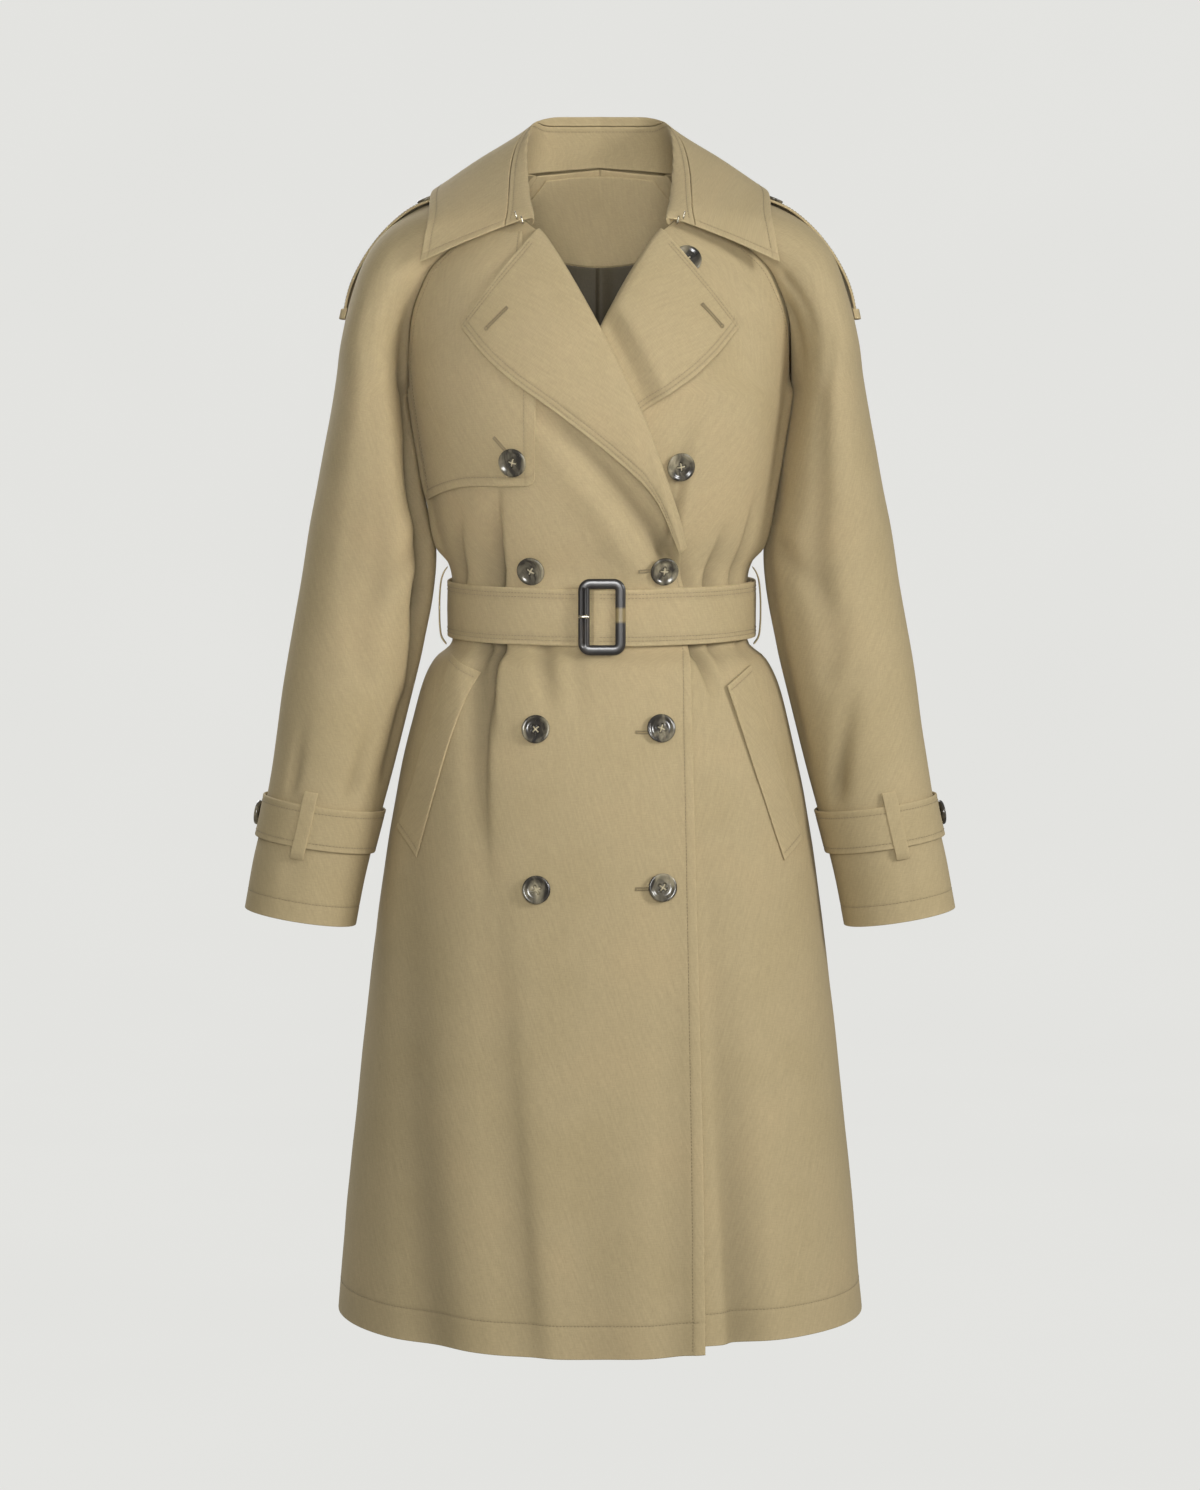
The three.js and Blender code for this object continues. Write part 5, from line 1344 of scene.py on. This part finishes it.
def buttonhole(name, centre, direction, up, length):
    """A worked buttonhole: a close row of threads across each lip of the slit, a round end and a bar tack."""
    direction, up = unit(np.array(direction, dtype=float)), unit(np.array(up, dtype=float))
    across = np.cross(up, direction)
    run = np.linspace(-length / 2, length / 2, int(length / HOLE_THREAD["pitch"]))[:, None]
    tails, heads = [], []
    for lip in (-1, 1):
        inner = centre + direction * run + across * (HOLE_THREAD["slit"] * lip) + up * HOLE_THREAD["over"]
        tails.append(inner)
        heads.append(inner + across * (HOLE_THREAD["long"] * lip) - up * HOLE_THREAD["drop"])
    turn = np.linspace(0, 2 * math.pi, EYELET["rays"] + 1)[:-1, None]
    ray = direction * np.cos(turn) + across * np.sin(turn)
    hub = centre + direction * (length / 2 + EYELET["past"])
    tails.append(hub + ray * EYELET["inner"] + up * HOLE_THREAD["over"])
    heads.append(hub + ray * EYELET["outer"] + up * HOLE_THREAD["drop"])
    bar = np.linspace(-TACK["half"], TACK["half"], TACK["threads"])[:, None]
    tack = centre - direction * (length / 2 + TACK["past"]) + across * bar + up * TACK["over"]
    tails.append(tack - direction * TACK["long"])
    heads.append(tack + direction * TACK["long"])
    tail, head = np.concatenate(tails), np.concatenate(heads)
    along = unit(head - tail)
    beside = unit(np.cross(along, np.broadcast_to(up, along.shape)))
    rise = np.cross(beside, along)
    return make(name, *short_threads(tail, head, beside, rise, HOLE_THREAD["radius"], HOLE_SHAPE, HOLE_RING))


# Materials


def linear(hex_colour):
    """An sRGB hex value as linear red, green, blue and alpha."""
    value = hex_colour.lstrip("#")
    channels = [int(value[k:k + 2], 16) / 255 for k in (0, 2, 4)]
    return [c / 12.92 if c <= 0.04045 else ((c + 0.055) / 1.055) ** 2.4 for c in channels] + [1.0]


def node(tree, kind, settings=None, stops=(), output=0, **links):
    """Adds a node and gives one of its outputs.

    settings are its properties and unlinked inputs, stops are its ramp's places and colours, and links join
    its inputs, by name or as _number, to other nodes' outputs.
    """
    made = tree.nodes.new("ShaderNode" + kind)
    for key, value in (settings or {}).items():
        if hasattr(made, key):
            setattr(made, key, value)
        else:
            made.inputs[key].default_value = value
    if stops:
        elements = made.color_ramp.elements
        while len(elements) < len(stops):
            elements.new(0.5)
        for element, (place, colour) in zip(elements, stops):
            element.position = place
            element.color = linear(colour)
    for key, source in links.items():
        name = int(key[1:]) if key[0] == "_" and key[1:].isdigit() else key.replace("_", " ")
        tree.links.new(source, made.inputs[name])
    return made.outputs[output]


def material(name):
    """An empty material and its tree of nodes."""
    made = bpy.data.materials.new(name)
    made.use_nodes = True
    made.node_tree.nodes.clear()
    return made, made.node_tree


def surface(tree, settings, **links):
    """Ends a material: the shader with its settings and links, joined to the output."""
    shader = node(tree, "BsdfPrincipled", settings, **links)
    output = tree.nodes.new("ShaderNodeOutputMaterial")
    tree.links.new(shader, output.inputs["Surface"])


TWILL_RIB = 1.7         # real gabardine has a rib each 0.5 mm; drawn three times as wide so that it shows
LINING_RIB = 0.9        # a lining's is finer still, and drawn wider too
RIB_RUN = 14            # how many times longer than wide one stretch of rib is before it changes
RIB_TURN = -27          # degrees from the warp
WARP_SLUBS = (900, 130, 1)      # slubs a metre across and along the warp: each about 1 mm wide and 8 mm long
WEFT_SLUBS = (160, 1100, 1)     # the same for the weft


def woven_cloth(name, light, dark, warm, rib, roughness, sheen, bump):
    """A woven twill: fine steep ribs cross the grain, slubs run with warp and weft, and the dye is uneven.

    rib is the distance from one twill rib to the next in millimetres. The attribute shade darkens hollows and
    stitching with painted shade, and pales the edges where the cloth wears.
    """
    made, tree = material(name)
    place = node(tree, "TexCoord", output="UV")
    turned = node(tree, "Mapping", {"Rotation": (0, 0, math.radians(RIB_TURN))}, Vector=place)
    drawn = node(tree, "Mapping", {"Scale": (1000 / rib, 1000 / rib / RIB_RUN, 1)}, Vector=turned)
    ribs = node(tree, "TexNoise", {"Scale": 1.0, "Detail": 1.0, "Roughness": 0.4}, Vector=drawn)
    warp = node(tree, "Mapping", {"Scale": WARP_SLUBS}, Vector=place)
    slubs = node(tree, "TexNoise", {"Scale": 1.0, "Detail": 3.0, "Roughness": 0.6}, Vector=warp)
    weft = node(tree, "Mapping", {"Scale": WEFT_SLUBS}, Vector=place)
    crossing = node(tree, "TexNoise", {"Scale": 1.0, "Detail": 2.0}, Vector=weft)
    patches = node(tree, "TexNoise", {"Scale": 9.0, "Detail": 2.0, "Roughness": 0.5}, Vector=place)
    dye = node(tree, "ValToRGB", stops=((0.25, dark), (0.5, light), (0.75, warm)), Fac=patches)
    thread = node(tree, "Math", {"operation": "ADD"}, _0=slubs, _1=crossing)
    shade = node(tree, "Attribute", {"attribute_name": "shade"}, output="Fac")
    tones = []
    # the last tone is the shade attribute: painted shade in folds and stitch grooves, and paler worn edges
    for value, low, high, darkest, palest in (
        (thread, 0.7, 1.3, 0.93, 1.07), (ribs, 0.3, 0.7, 0.965, 1.035), (shade, -2.4, 1.0, 0.328, 1.28)
    ):
        limits = {"From Min": low, "From Max": high, "To Min": darkest, "To Max": palest}
        tones.append(node(tree, "MapRange", limits, Value=value))
    both = node(tree, "Math", {"operation": "MULTIPLY"}, _0=tones[0], _1=tones[1])
    all_tones = node(tree, "Math", {"operation": "MULTIPLY"}, _0=both, _1=tones[2])
    colour = node(tree, "VectorMath", {"operation": "SCALE"}, _0=dye, Scale=all_tones)
    height = node(tree, "Math", {"operation": "ADD"}, _0=ribs, _1=thread)
    relief = node(tree, "Bump", {"Strength": bump, "Distance": 0.00018}, Height=height)
    finish_of_cloth = {
        "Roughness": roughness, "IOR": 1.45, "Specular IOR Level": 0.25, "Sheen Weight": sheen,
        "Sheen Roughness": 0.45, "Sheen Tint": linear("#e2dac2"),
    }
    surface(tree, finish_of_cloth, Base_Color=colour, Normal=relief)
    return made


def band_at(tree, value, low, high, soft):
    """1 where a value lies between low and high, falling softly to 0 outside."""
    rises = {"From Min": low - soft, "From Max": low + soft}
    falls = {"From Min": high - soft, "From Max": high + soft, "To Min": 1.0, "To Max": 0.0}
    rising = node(tree, "MapRange", rises, Value=value)
    falling = node(tree, "MapRange", falls, Value=value)
    return node(tree, "Math", {"operation": "MULTIPLY"}, _0=rising, _1=falling)


# Where the clear band of the buckle's resin lies, in metres, and its colour
AMBER = {"x": (0.012, 0.03, 0.001), "z": (-0.4025, -0.390, 0.0012), "colour": "#84734a"}


def amber_mark(tree, place, colour):
    """An olive amber band across the buckle's right bar, where the resin is clear."""
    across = band_at(tree, node(tree, "SeparateXYZ", output="X", Vector=place), *AMBER["x"])
    along = band_at(tree, node(tree, "SeparateXYZ", output="Z", Vector=place), *AMBER["z"])
    both = node(tree, "Math", {"operation": "MULTIPLY"}, _0=across, _1=along)
    settings = {"data_type": "RGBA", "B": linear(AMBER["colour"])}
    return node(tree, "Mix", settings, output="Result", A=colour, Factor=both)


def horn(name, stops, seed, size, roughness=0.2, marked=False):
    """Polished horn: clouded bands that run one way through the disc, under a glossy face.

    size is the distance from one cloud to the next in metres.
    """
    made, tree = material(name)
    place = node(tree, "TexCoord", output="Object")
    turned = {
        "Location": (seed * 0.37, seed * 0.11, seed * 0.23), "Rotation": (0, math.radians(35), 0),
        "Scale": (1, 1, 0.45),
    }
    moved = node(tree, "Mapping", turned, Vector=place)
    cloudy = {"Scale": 1 / size, "Detail": 4.0, "Roughness": 0.5, "Distortion": 0.8}
    clouds = node(tree, "TexNoise", cloudy, Vector=moved)
    colour = node(tree, "ValToRGB", stops=stops, Fac=clouds)
    if marked:
        colour = amber_mark(tree, place, colour)
    fine = node(tree, "TexNoise", {"Scale": 900.0, "Detail": 2.0}, Vector=moved)
    relief = node(tree, "Bump", {"Strength": 0.05, "Distance": 0.0001}, Height=fine)
    glossy = {"Roughness": roughness, "IOR": 1.54, "Coat Weight": 0.4, "Coat Roughness": 0.12}
    surface(tree, glossy, Base_Color=colour, Normal=relief)
    return made


def polished_metal(name, colour, roughness):
    """Plated wire: bright, with faint drawing marks that break up its gloss."""
    made, tree = material(name)
    place = node(tree, "TexCoord", output="Object")
    marks = node(tree, "TexNoise", {"Scale": 700.0, "Detail": 3.0}, Vector=place)
    worn = node(tree, "MapRange", {"To Min": roughness * 0.7, "To Max": roughness * 1.4}, Value=marks)
    surface(tree, {"Base Color": linear(colour), "Metallic": 1.0}, Roughness=worn)
    return made


def sewing_thread(name, colour):
    """Spun cotton thread: matt, with the twist of its plies as a fine change of tone."""
    made, tree = material(name)
    place = node(tree, "TexCoord", output="Object")
    twist = node(tree, "TexNoise", {"Scale": 1600.0, "Detail": 1.0}, Vector=place)
    tone = node(tree, "MapRange", {"To Min": 0.8, "To Max": 1.15}, Value=twist)
    base = node(tree, "RGB")
    base.default_value = linear(colour)
    shaded = node(tree, "VectorMath", {"operation": "SCALE"}, _0=base, Scale=tone)
    surface(tree, {"Roughness": 0.75, "Sheen Weight": 0.15}, Base_Color=shaded)
    return made


THROWN_BACK = 0.30      # light that the paper throws on the coat, as a share of its brightness in the picture


def backdrop_paper(name, colour):
    """Matt studio paper with a very slight mottle, lit evenly. What it throws back on the coat is softer."""
    made, tree = material(name)
    place = node(tree, "TexCoord", output="Object")
    mottle = node(tree, "TexNoise", {"Scale": 1.2, "Detail": 2.0}, Vector=place)
    tone = node(tree, "MapRange", {"To Min": 0.985, "To Max": 1.015}, Value=mottle)
    seen = node(tree, "LightPath", output="Is Camera Ray")
    share = node(tree, "MapRange", {"To Min": THROWN_BACK, "To Max": 1.0}, Value=seen)
    glow = node(tree, "Math", {"operation": "MULTIPLY"}, _0=tone, _1=share)
    matt = {
        "Emission Color": linear(colour), "Base Color": linear("#101010"), "Roughness": 0.95,
        "Specular IOR Level": 0.0,
    }
    surface(tree, matt, Emission_Strength=glow)
    return made


GABARDINE = woven_cloth("cotton_gabardine", "#ae9d79", "#aa9974", "#b29f7a", TWILL_RIB, 0.82, 0.12, 0.3)
LINING = woven_cloth("viscose_lining", "#524b3c", "#4d4638", "#575040", LINING_RIB, 0.5, 0.1, 0.1)
THREAD = sewing_thread("cotton_thread", "#8f8060")
BUTTON_THREAD = sewing_thread("button_thread", "#c9bd9c")
HORN_STOPS = ((0.3, "#24211d"), (0.45, "#3a352d"), (0.56, "#6f6856"), (0.68, "#a0967c"))
HORNS = [horn(f"buffalo_horn_{k}", HORN_STOPS, k + 1, 0.013) for k in range(4)]
TORTOISE_STOPS = ((0.4, "#1f1b19"), (0.6, "#2b2622"), (0.75, "#3d342b"))
TORTOISE = horn("tortoise_resin", TORTOISE_STOPS, 9, 0.016, 0.32, marked=True)
METAL = polished_metal("nickel_plated_wire", "#cfc8b4", 0.25)


def finish(piece, look, slot, *nodes):
    """Gives a piece its material and its body, and hides the solids it stands for. slot is not used."""
    piece.data.materials.append(look)
    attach(piece, "root")
    if nodes:
        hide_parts(*nodes)
    return piece


CUT_STEP = 5            # flat sizes are rounded up to whole steps


def declare(made):
    """Works out the widest and longest run of a cloth piece's flat cut, rounded up to whole steps, and
    neither keeps nor states them.
    """
    along_row, along_column = made["flat"]
    width, length = along_row[:, -1].max(), along_column[-1].max()
    width, length = (math.ceil(value / CUT_STEP) * CUT_STEP / 1000 for value in (width, length))


# Assembly: the cloth

SIDES = {"right": -1, "left": 1}
PAIRED = {
    "sleeve": sleeve,
    "epaulette": epaulette,
    "epaulette_carrier": carrier,
    "cuff_strap": cuff_strap,
    "cuff_loop": cuff_loop,
    "belt_loop": belt_loop,
    "pocket_welt": welt,
}

panels = {
    "front_right": front_panel("front_right", -1, HEM_DIP, front_reach, flat_depth),
    "front_left": front_panel("front_left", 1, UNDER_HEM_DIP, under_reach, under_depth),
    "back_right": back_panel("back_right", -1),
    "back_left": back_panel("back_left", 1),
    "lapel_right": lapel("lapel_right", -1, flat_depth, flat_depth),
    "lapel_left": lapel("lapel_left", 1, under_depth, beneath_outer),
    "storm_flap": storm_flap(),
    "collar_stand": collar_part("collar_stand", "stand"),
    "collar_fall": collar_part("collar_fall", "fall"),
    "back_neck_facing": back_neck_facing(),
    "back_lining": back_lining(),
    "belt": belt_strip("belt", BELT["from"], BELT["to"], BELT_STANDOFF + DOUBLED),
    "belt_end": belt_strip("belt_end", BELT_END["from"], BELT_END["to"], BELT_STANDOFF + 2 * DOUBLED + 0.8),
}
for word, side in SIDES.items():
    for part, build in PAIRED.items():
        name = f"{part}_{word}"
        panels[name] = build(name, side)

for name, made in panels.items():
    lining = name == "back_lining"
    finish(made["piece"], LINING if lining else GABARDINE, "lining" if lining else "gabardine", name)

# Angle and top of each long seam
LONG_SEAMS = {
    "centre_back": (math.pi, -12),
    "side_right": (-math.pi / 2, ARMPIT - 14),
    "side_left": (math.pi / 2, ARMPIT - 14),
}
allowances = []
for word, side in SIDES.items():
    for place, rows in (("front", FRONT_ARMHOLE), ("back", BACK_ARMHOLE)):
        allowances.append(seam_allowance(f"seam_allowance_{place}_{word}", side, rows, place == "back"))
for place, (middle, top) in LONG_SEAMS.items():
    allowances.append(long_allowance("seam_allowance_" + place, middle, top))
for made in allowances:
    finish(made["piece"], GABARDINE, "gabardine")

# Assembly: topstitching, as rows and columns of the grids above

HEM_ROW = HEM_LINES.index(HEM_TURN)
EDGE_ROW = EDGE_LINES.index(EDGE_STITCH)
SEAM_ROW = SEAM_LINES.index(6)
FALL_ROW = EDGE_LINES.index(FALL_STITCH)
STAND_ROW = SEAM_LINES.index(4.5)
STRAP_ROW = EDGE_LINES.index(5.6)
FLAT_FROM = TURN_COLUMNS + 2    # first column of a lapel's grid that lies past the turn


def far(row):
    """The row or column as far from the last one as the given one is from the first."""
    return -1 - row


def stitch(name, *lines):
    """Sews the lines of one piece, as one joined mesh."""
    threads = make("stitching_" + name, *joined([stitches(*line) for line in lines]))
    finish(threads, THREAD, "gabardine")


for word in SIDES:
    front, back = panels["front_" + word], panels["back_" + word]
    below_break = int(np.sum(front["points"][:, -1, 2] < BREAK))
    below_armpit = int(np.sum(front["points"][:, 0, 2] < ARMPIT))
    stitch(
        "front_" + word, column_of(front, far(EDGE_ROW), 3, below_break), row_of(front, HEM_ROW, 3, -3),
        column_of(front, SEAM_ROW, below_armpit),
    )
    stitch("back_" + word, row_of(back, HEM_ROW, 3, -3), column_of(back, far(SEAM_ROW), 3))
    stitch("sleeve_" + word, row_of(panels["sleeve_" + word], CUFF_LINES.index(CUFF_STITCH), 3, -3))
    leaf = panels["lapel_" + word]
    near, wide = (EDGE_LINES.index(distance) for distance in LAPEL_STITCHES)
    stitch(
        "lapel_" + word, column_of(leaf, far(near), near, -near), column_of(leaf, far(wide), wide, -6),
        row_of(leaf, near, FLAT_FROM, -near), row_of(leaf, wide, FLAT_FROM, -wide),
    )
    strap = panels["epaulette_" + word]
    stitch(
        "epaulette_" + word, row_of(strap, STRAP_ROW, 4, -5), row_of(strap, far(STRAP_ROW), 4, -5),
        column_of(strap, far(STRAP_ROW), 4, -4),
    )
    for part in ("cuff_strap_", "pocket_welt_"):
        made = panels[part + word]
        stitch(part + word, row_of(made, STRAP_ROW), row_of(made, far(STRAP_ROW)))

flap, fall = panels["storm_flap"], panels["collar_fall"]
stitch(
    "storm_flap", column_of(flap, far(EDGE_ROW), EDGE_ROW), row_of(flap, EDGE_ROW, 3, far(EDGE_ROW)),
    column_of(flap, SEAM_ROW, EDGE_ROW),
)
stitch(
    "collar_fall", row_of(fall, far(FALL_ROW), FALL_ROW, -FALL_ROW),
    column_of(fall, FALL_ROW, 4, -6), column_of(fall, far(FALL_ROW), 4, -6),
)
stitch("collar_stand", row_of(panels["collar_stand"], far(STAND_ROW), 4, -4))
for name in ("belt", "belt_end"):
    inner, outer = BELT_LINES.index(4.6), BELT_LINES.index(8)
    stitch(name, *[row_of(panels[name], row, 1, -1) for row in (inner, outer, far(inner), far(outer))])

# Assembly: buttons and buttonholes

# Centre x and z of each buttonhole, the way its round end points, and its length
BUTTONHOLES = {
    "storm_flap": [(-85.5, -250, 0.7, -0.7, 17)],
    "front_right": [(x, z, 1, 0, 24) for x, z in ((45, -357.7), (44, -497), (44, -632))],
    "lapel_right": [(-88.8, -136.6, -0.74, -0.67, 24)],
    "lapel_left": [(97.6, -136.6, 0.71, -0.71, 24)],
}
for name, holes in BUTTONHOLES.items():
    made = panels[name]
    leaf_from = FLAT_FROM + 4 if name.startswith("lapel") else 0
    points, normals = made["points"][:, leaf_from:], made["normals"][:, leaf_from:]
    for k, (x, z, way_x, way_z, length) in enumerate(holes):
        spot = np.unravel_index(np.argmin(np.hypot(points[..., 0] - x, points[..., 2] - z)), points.shape[:2])
        up = normals[spot]
        way = np.array([way_x, 0, way_z])
        hole = buttonhole(f"buttonhole_{name}_{k}", points[spot], way - up * np.dot(way, up), up, length)
        finish(hole, THREAD, "gabardine")

for k, (name, (x, z, standoff)) in enumerate(BUTTONS.items()):
    angle = float(angle_at(x, z))
    normal = body_normal(angle, z)
    base = hull(angle, z) + normal * standoff
    piece, thread = button(name, base, normal, spin=0.5 + 1.3 * k)
    finish(piece, HORNS[k % 4], "horn", name)
    finish(thread, BUTTON_THREAD, "gabardine")
EPAULETTE_BUTTON = {"x": 155.5, "z": -29.7, "tilt": 0.374, "radius": 8.5, "thick": 2.8}
CUFF_BUTTON = {"around": -0.06, "radius": 11}
for word, side in SIDES.items():
    shoulder = EPAULETTE_BUTTON
    normal = np.array([side * math.sin(shoulder["tilt"]), 0, math.cos(shoulder["tilt"])])
    x, z = side * (shoulder["x"] - EPAULETTE_REST["inward"]), shoulder["z"] - EPAULETTE_REST["down"]
    base = np.array([x, 0, z]) + normal * SEAM_GAP
    name = "button_epaulette_" + word
    piece, thread = button(name, base, normal, shoulder["radius"], shoulder["thick"])
    finish(piece, HORNS[1], "horn", name)
    finish(thread, BUTTON_THREAD, "gabardine")
    middle = (CUFF_STRAP["low"] + CUFF_STRAP["high"]) / 2
    on_strap = [on_sleeve(CUFF_BUTTON["around"], middle, CUFF_STRAP["out"] + d) for d in (SEAM_GAP, 10)]
    outward = unit(on_strap[1] - on_strap[0])
    name = "button_cuff_" + word
    piece, thread = button(name, mirrored(side, on_strap[0]), mirrored(side, outward), CUFF_BUTTON["radius"])
    finish(piece, HORNS[2], "horn", name)
    finish(thread, BUTTON_THREAD, "gabardine")
    finish(hook_bars(side), METAL, "metal")

finish(buckle_frame(), TORTOISE, "horn", "buckle_frame")
finish(buckle_prong(), METAL, "metal", "buckle_prong")

for name, made in panels.items():
    declare(made)
for made in allowances:
    declare(made)

# Stage: a pale sweep of paper, soft lights, and the photograph's camera

EYE = (0, -3.6, -0.209)
TILT_DOWN = 4.93        # degrees
FOCAL_SHARE = 4000 / 1490
SENSOR = 36
FLOOR = -1.9
COVE_RADIUS = 9.0
BEND = 2.5
COVE_HEIGHT = 7.0


def round_cove():
    """Floor, a quarter circle up, and a wall, turned all the way round: every view has paper behind."""
    bend = np.linspace(0, math.pi / 2, 16)
    radius = np.concatenate([[0.02, 1, 3, 5], COVE_RADIUS - BEND + BEND * np.sin(bend), [COVE_RADIUS]])
    height = np.concatenate([[0, 0, 0, 0], BEND * (1 - np.cos(bend)), [COVE_HEIGHT - FLOOR]]) + FLOOR
    turn = np.arange(72) * math.pi / 36
    r = radius[:, None]
    points = point(r * np.cos(turn), r * np.sin(turn), height[:, None] + 0 * turn).reshape(-1, 3) * 1000
    return make("paper_cove", points, grid_faces(len(radius), 72, wrap_columns=True)[:, ::-1])


cove = round_cove()
cove.data.materials.append(backdrop_paper("studio_paper", "#e3e3e0"))


def softbox(name, place, target, size, power, spread_degrees=180):
    """A square area light that looks at a target and isn't seen itself.

    One that is narrowed to less than a half turn is a reflector, and glossy pieces don't mirror it.
    """
    lamp = bpy.data.lights.new(name, "AREA")
    lamp.size = size
    lamp.energy = power
    lamp.spread = math.radians(spread_degrees)
    lamp_object = bpy.data.objects.new(name, lamp)
    bpy.context.scene.collection.objects.link(lamp_object)
    away = np.array(place) - np.array(target)
    lamp_object.visible_camera = False
    lamp_object.visible_glossy = spread_degrees == 180
    lamp_object.location = place
    flat_away = math.hypot(away[0], away[1])
    lamp_object.rotation_euler = (math.atan2(flat_away, away[2]), 0, math.atan2(away[0], -away[1]))


softbox("key_softbox", (2.9, -2.1, 0.7), (0, 0, -0.45), 0.9, 67)
softbox("front_softbox", (0.1, -3.8, 0.2), (0, 0, -0.2), 1.0, 70)
softbox("chest_reflector", (-0.15, -3.4, -0.35), (-0.06, 0, -0.27), 0.3, 0.12, 12)
softbox("neck_reflector", (0, -0.03, -0.03), (0, 0.09, -0.045), 0.1, 0.016, 110)
softbox("back_softbox", (-1.6, 3.0, 1.2), (0, 0, -0.45), 2.0, 75)

world = bpy.data.worlds.new("studio_air")
world.use_nodes = True
world.node_tree.nodes["Background"].inputs["Color"].default_value = linear("#f2f3f5")
world.node_tree.nodes["Background"].inputs["Strength"].default_value = 0.4
bpy.context.scene.world = world

lens = bpy.data.cameras.new("camera")
lens.sensor_fit = "VERTICAL"
lens.sensor_height = SENSOR
lens.lens = SENSOR * FOCAL_SHARE
lens.clip_end = 50
viewer = bpy.data.objects.new("camera", lens)
bpy.context.scene.collection.objects.link(viewer)
viewer.location = EYE
viewer.rotation_euler = (math.radians(90 - TILT_DOWN), 0, 0)
bpy.context.scene.camera = viewer
bpy.context.scene.view_settings.view_transform = "Standard"
